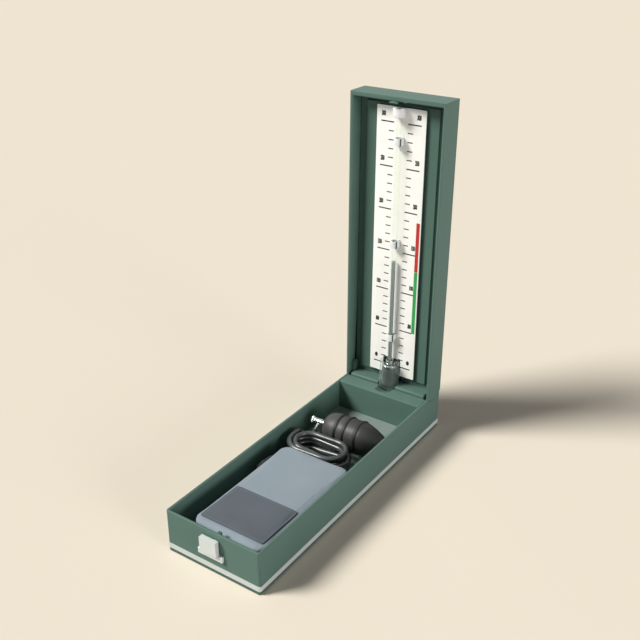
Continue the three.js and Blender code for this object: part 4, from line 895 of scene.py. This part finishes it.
settle(makeKnob(), "valve_screw", "chrome", "valve_thumb_screw")
inletProfile = np.concatenate([inlet["stem"], eased(inlet["cup"], 0.45, 3), inlet["cupFloor"]])
settle(turned("inletValve", inletProfile, bulbMiddle, "x", "steel", 40), "base", "chrome", "inlet_valve")
print("bulb and valves made")


# Folded cuff: a padded slab, swollen by a cloth simulation, with creases where its layers meet

cuff = {
    "left": -35.0, "right": 52.0, "front": 9.8, "back": 165.5, "top": 42.0, "corner": 11.0,
    "leastCorner": 2.0, "edge": 2.4, "shrink": 0.4, "footShrink": 0.6, "voxel": 2.1, "pressure": 4.0,
    "quality": 6, "mass": 0.3, "frames": 20, "mostMove": 0.8, "layers": 3,
    "creaseDepth": 1.5, "creaseHalf": 1.0, "creaseReach": 9.0, "creaseEnd": 0.97, "creaseFade": 0.12,
    "topFrom": 6, "topOver": 4, "hem": 7.5, "hemHalf": 0.7, "hemDepth": 0.18, "ripple": 0.16,
}


def cuffSlab(inset):
    # stacked outlines whose inset follows a quarter circle at the lower and the upper edge
    low, high, edge = case["softFloor"] + inset * cuff["footShrink"], cuff["top"] - inset, cuff["edge"]
    turn = np.linspace(0, np.pi / 2, 7)
    pulled, lifted = edge * (1 - np.sin(turn)), edge * (1 - np.cos(turn))
    drawn = np.concatenate([pulled, [0.0] * 3, pulled[::-1]])
    middle = np.linspace(low + edge, high - edge, 5)[1:-1]
    rise = np.concatenate([low + lifted, middle, high - lifted[::-1]])
    rings = [raised(roundedOutline(cuff["left"] + inset + less, cuff["right"] - inset - less,
                                   cuff["front"] + inset + less, cuff["back"] - inset - less,
                                   max(cuff["corner"] - less, cuff["leastCorner"]), 6), height)
             for less, height in zip(drawn, rise)]
    return makePiece("foldedCuff", np.concatenate(rings), stackFaces(rings, bottom=True), "cuff", 180.0)


def swell(piece):
    # cloth with air pressure for some frames, then no point further than mostMove from its start
    start = corners(piece.data)
    cloth = piece.modifiers.new("air", "CLOTH")
    cloth.settings.quality = cuff["quality"]
    cloth.settings.mass = cuff["mass"]
    cloth.settings.use_pressure = True
    cloth.settings.uniform_pressure_force = cuff["pressure"]
    cloth.settings.effector_weights.gravity = 0.0
    cloth.point_cache.frame_start = 1
    cloth.point_cache.frame_end = cuff["frames"]
    for number in range(1, cuff["frames"] + 1):
        bpy.context.scene.frame_set(number)
    move = corners(piece.evaluated_get(bpy.context.evaluated_depsgraph_get()).to_mesh()) - start
    piece.modifiers.clear()
    bpy.context.scene.frame_set(1)
    size = np.linalg.norm(move, axis=1, keepdims=True)
    move *= np.minimum(1, cuff["mostMove"] * milli / np.maximum(size, 1e-9))
    moveCorners(piece.data, start + move)


def shapeCuff(piece):
    # creases: drawn in by a bell curve at each height where layers meet, except where they fold over;
    # then a line inside the hem and a slight ripple on top
    points = corners(piece.data) * 1000 + caseMiddle
    x, y = (points[:, :2] - ((cuff["left"] + cuff["right"]) / 2, (cuff["front"] + cuff["back"]) / 2)).T
    halfWide, halfLong = (cuff["right"] - cuff["left"]) / 2, (cuff["back"] - cuff["front"]) / 2
    toSide, toEnd = halfWide - np.abs(x), halfLong - np.abs(y)
    nearSide = np.clip(1 - np.minimum(toSide, toEnd) / cuff["creaseReach"], 0, 1)
    onEnd = toEnd < toSide
    inward = np.stack([np.where(onEnd, 0, -np.sign(x)), np.where(onEnd, -np.sign(y), 0)], -1)
    low, high = case["softFloor"], cuff["top"]
    for fold, foldEnd in ((1, 1), (2, -1)):
        height = low + (high - low) * fold / cuff["layers"]
        along = np.clip(foldEnd * y / halfLong, -1, 1)
        keep = np.clip((cuff["creaseEnd"] - along) / cuff["creaseFade"], 0, 1)
        wander = 0.35 * np.sin(y / 17 + fold) + 0.25 * np.sin(x / 9 + 2 * fold)
        bell = np.exp(-((points[:, 2] - height - wander) / cuff["creaseHalf"]) ** 2)
        points[:, :2] += inward * (cuff["creaseDepth"] * bell * nearSide * keep)[:, None]
    onTop = np.clip((points[:, 2] - high + cuff["topFrom"]) / cuff["topOver"], 0, 1)
    hemLine = np.exp(-((toSide - cuff["hem"]) / cuff["hemHalf"]) ** 2)
    ripple = np.sin(x / 13 + 0.6) * np.sin(y / 19 + 1.1)
    points[:, 2] += onTop * (cuff["ripple"] * ripple - cuff["hemDepth"] * hemLine)
    points[:, 2] = np.clip(points[:, 2], low, high)
    moveCorners(piece.data, toMetres(points))


cuffPad = cuffSlab(cuff["shrink"])
remesh = cuffPad.modifiers.new("voxels", "REMESH")
remesh.mode = "VOXEL"
remesh.voxel_size = cuff["voxel"] * milli
remesh.use_smooth_shade = True
frozen(cuffPad)
swell(cuffPad)
finer = cuffPad.modifiers.new("finer", "SUBSURF")
finer.levels = finer.render_levels = 1
frozen(cuffPad)
shapeCuff(cuffPad)
relook(cuffPad.data, "cuff")
settle(cuffPad, "base", "cuff_cloth", "cuff")
print("cuff made, faces:", len(cuffPad.data.polygons))


# Hook patch, laid on the cuff

def makePatch():
    # a thin sheet with a rounded outline: rings shrink towards the middle, highest inside the border
    left, right, front, back = (hookPatch[key] for key in ("left", "right", "front", "back"))
    rings = [raised(roundedOutline(left + inset, right - inset, front + inset, back - inset,
                                   max(hookPatch["corner"] - inset, hookPatch["leastCorner"]), 3, 14),
                    cuff["top"] + hookPatch["above"] + height)
             for inset, height in zip(hookPatch["insets"], hookPatch["heights"])]
    return makePiece("hookPatch", np.concatenate(rings), stackFaces(rings, bottom=False), "hooks", 60.0)


patch = makePatch()
above = corners(patch.data)[:, 2] - (cuff["top"] + hookPatch["above"]) * milli
drop = patch.modifiers.new("lay", "SHRINKWRAP")
drop.target = cuffPad
drop.wrap_method = "PROJECT"
drop.use_project_z = True
drop.use_negative_direction = True
drop.use_positive_direction = False
frozen(patch)
laid = corners(patch.data)
laid[:, 2] += above
moveCorners(patch.data, laid)
settle(patch, "base", "hook_tape", "cuff_hook_patch")
print("patch laid")


# Elbow that leads out of the cuff, with a ring where the hose is pushed on

elbow = {
    "radius": 3.3, "y": 125.0, "z": 28.0, "from": -20.0, "straightTo": -30.0, "x": -44.5, "bend": 8.0,
    "ringY": (134.0, 134.6, 137.6, 138.2), "ringRadii": (3.9, 3.9, 3.3),
}
quarter = np.linspace(0, np.pi / 2, 9)
bendPoints = np.stack([elbow["x"] + elbow["bend"] * (1 - np.sin(quarter)),
                       elbow["y"] + elbow["bend"] * (1 - np.cos(quarter)),
                       np.full(len(quarter), elbow["z"])], -1)
elbowPath = np.concatenate([[(x, elbow["y"], elbow["z"]) for x in (elbow["from"], elbow["straightTo"])],
                            bendPoints, [(elbow["x"], y, elbow["z"]) for y in elbow["ringY"]]])
elbowRadii = [elbow["radius"]] * (len(elbowPath) - len(elbow["ringRadii"])) + [*elbow["ringRadii"]]
settle(makePiece("cuffElbow", *sweptTube(elbowPath, elbowRadii, 28), "hose", 50.0),
       "base", "black_rubber", "cuff_elbow")


# CAD solids that keep their shape get a fuller material

kept = {
    "steel": ["%s_screw_%d" % (board, number) for board in ("board", "back_board") for number in range(1, 5)]
    + ["%s_%s" % (small, side) for side in ("left", "right") for small in ("catch_screw", "latch_rivet")]
    + ["ear_screw_%s_%d" % (side, number) for side in ("left", "right") for number in (1, 2)]
    + ["latch_leaf_spring"],
    "green": ["hinge_pin_left", "hinge_pin_right"],
    "liner": ["floor_liner"],
    "plate": ["scale_plate"],
    "nylon": ["plate_spacer_1", "plate_spacer_2", "pot_saddle"],
    "filter": ["air_filter"],
    "hose": ["sealing_washer"],
    "bladder": ["cuff_bladder"],
}
for look, names in kept.items():
    for name in names:
        nodes[name].material_slots[0].material = looks[look]
print("kept solids dressed")


# Floor, lights and background

far, under = light["floorHalf"], -light["floorDrop"]
floorMesh = bpy.data.meshes.new("floor")
floorMesh.from_pydata([(-far, -far, under), (far, -far, under), (far, far, under), (-far, far, under)], [],
                      [(0, 1, 2, 3)])
floorPlane = added("floor", floorMesh)


def seenRays(tree):
    # 1 where the camera, a mirror or glass looks, 0 for light that bounces
    path = Wire(tree).node("LightPath")
    camera, glossy, clear = (path.other("Is %s Ray" % kind) for kind in ("Camera", "Glossy", "Transmission"))
    return camera.most(glossy).most(clear)


floorLook, shader, where = newLook("floorPaper")
paper = seenRays(where.tree).blend(light["bounced"], light["floor"])
feed(shader, Base_Color=paper, Roughness=0.9, Specular_IOR_Level=0.0)
floorMesh.materials.append(floorLook)


# far lamps, each of which shines from its own direction
for name in ("key", "fill", "side"):
    lamp = bpy.data.lights.new(name + "Lamp", "SUN")
    lamp.energy = light[name]
    lamp.angle = math.radians(light[name + "Angle"])
    lamp.color = light[name + "Colour"]
    x, y, z = light[name + "From"]
    added(name + "Lamp", lamp).rotation_euler = (math.atan2(math.hypot(x, y), z), 0.0, math.atan2(x, -y))
world = bpy.data.worlds.new("world")
world.use_nodes = True
sky = world.node_tree.nodes["Background"]
sky.inputs["Color"].default_value = (*light["skyColour"], 1.0)
strength = seenRays(world.node_tree) * (light["backdrop"] - light["sky"]) + light["sky"]
world.node_tree.links.new(strength.socket, sky.inputs["Strength"])
bpy.context.scene.world = world
bpy.context.scene.view_settings.view_transform = "Standard"
print("lights set")
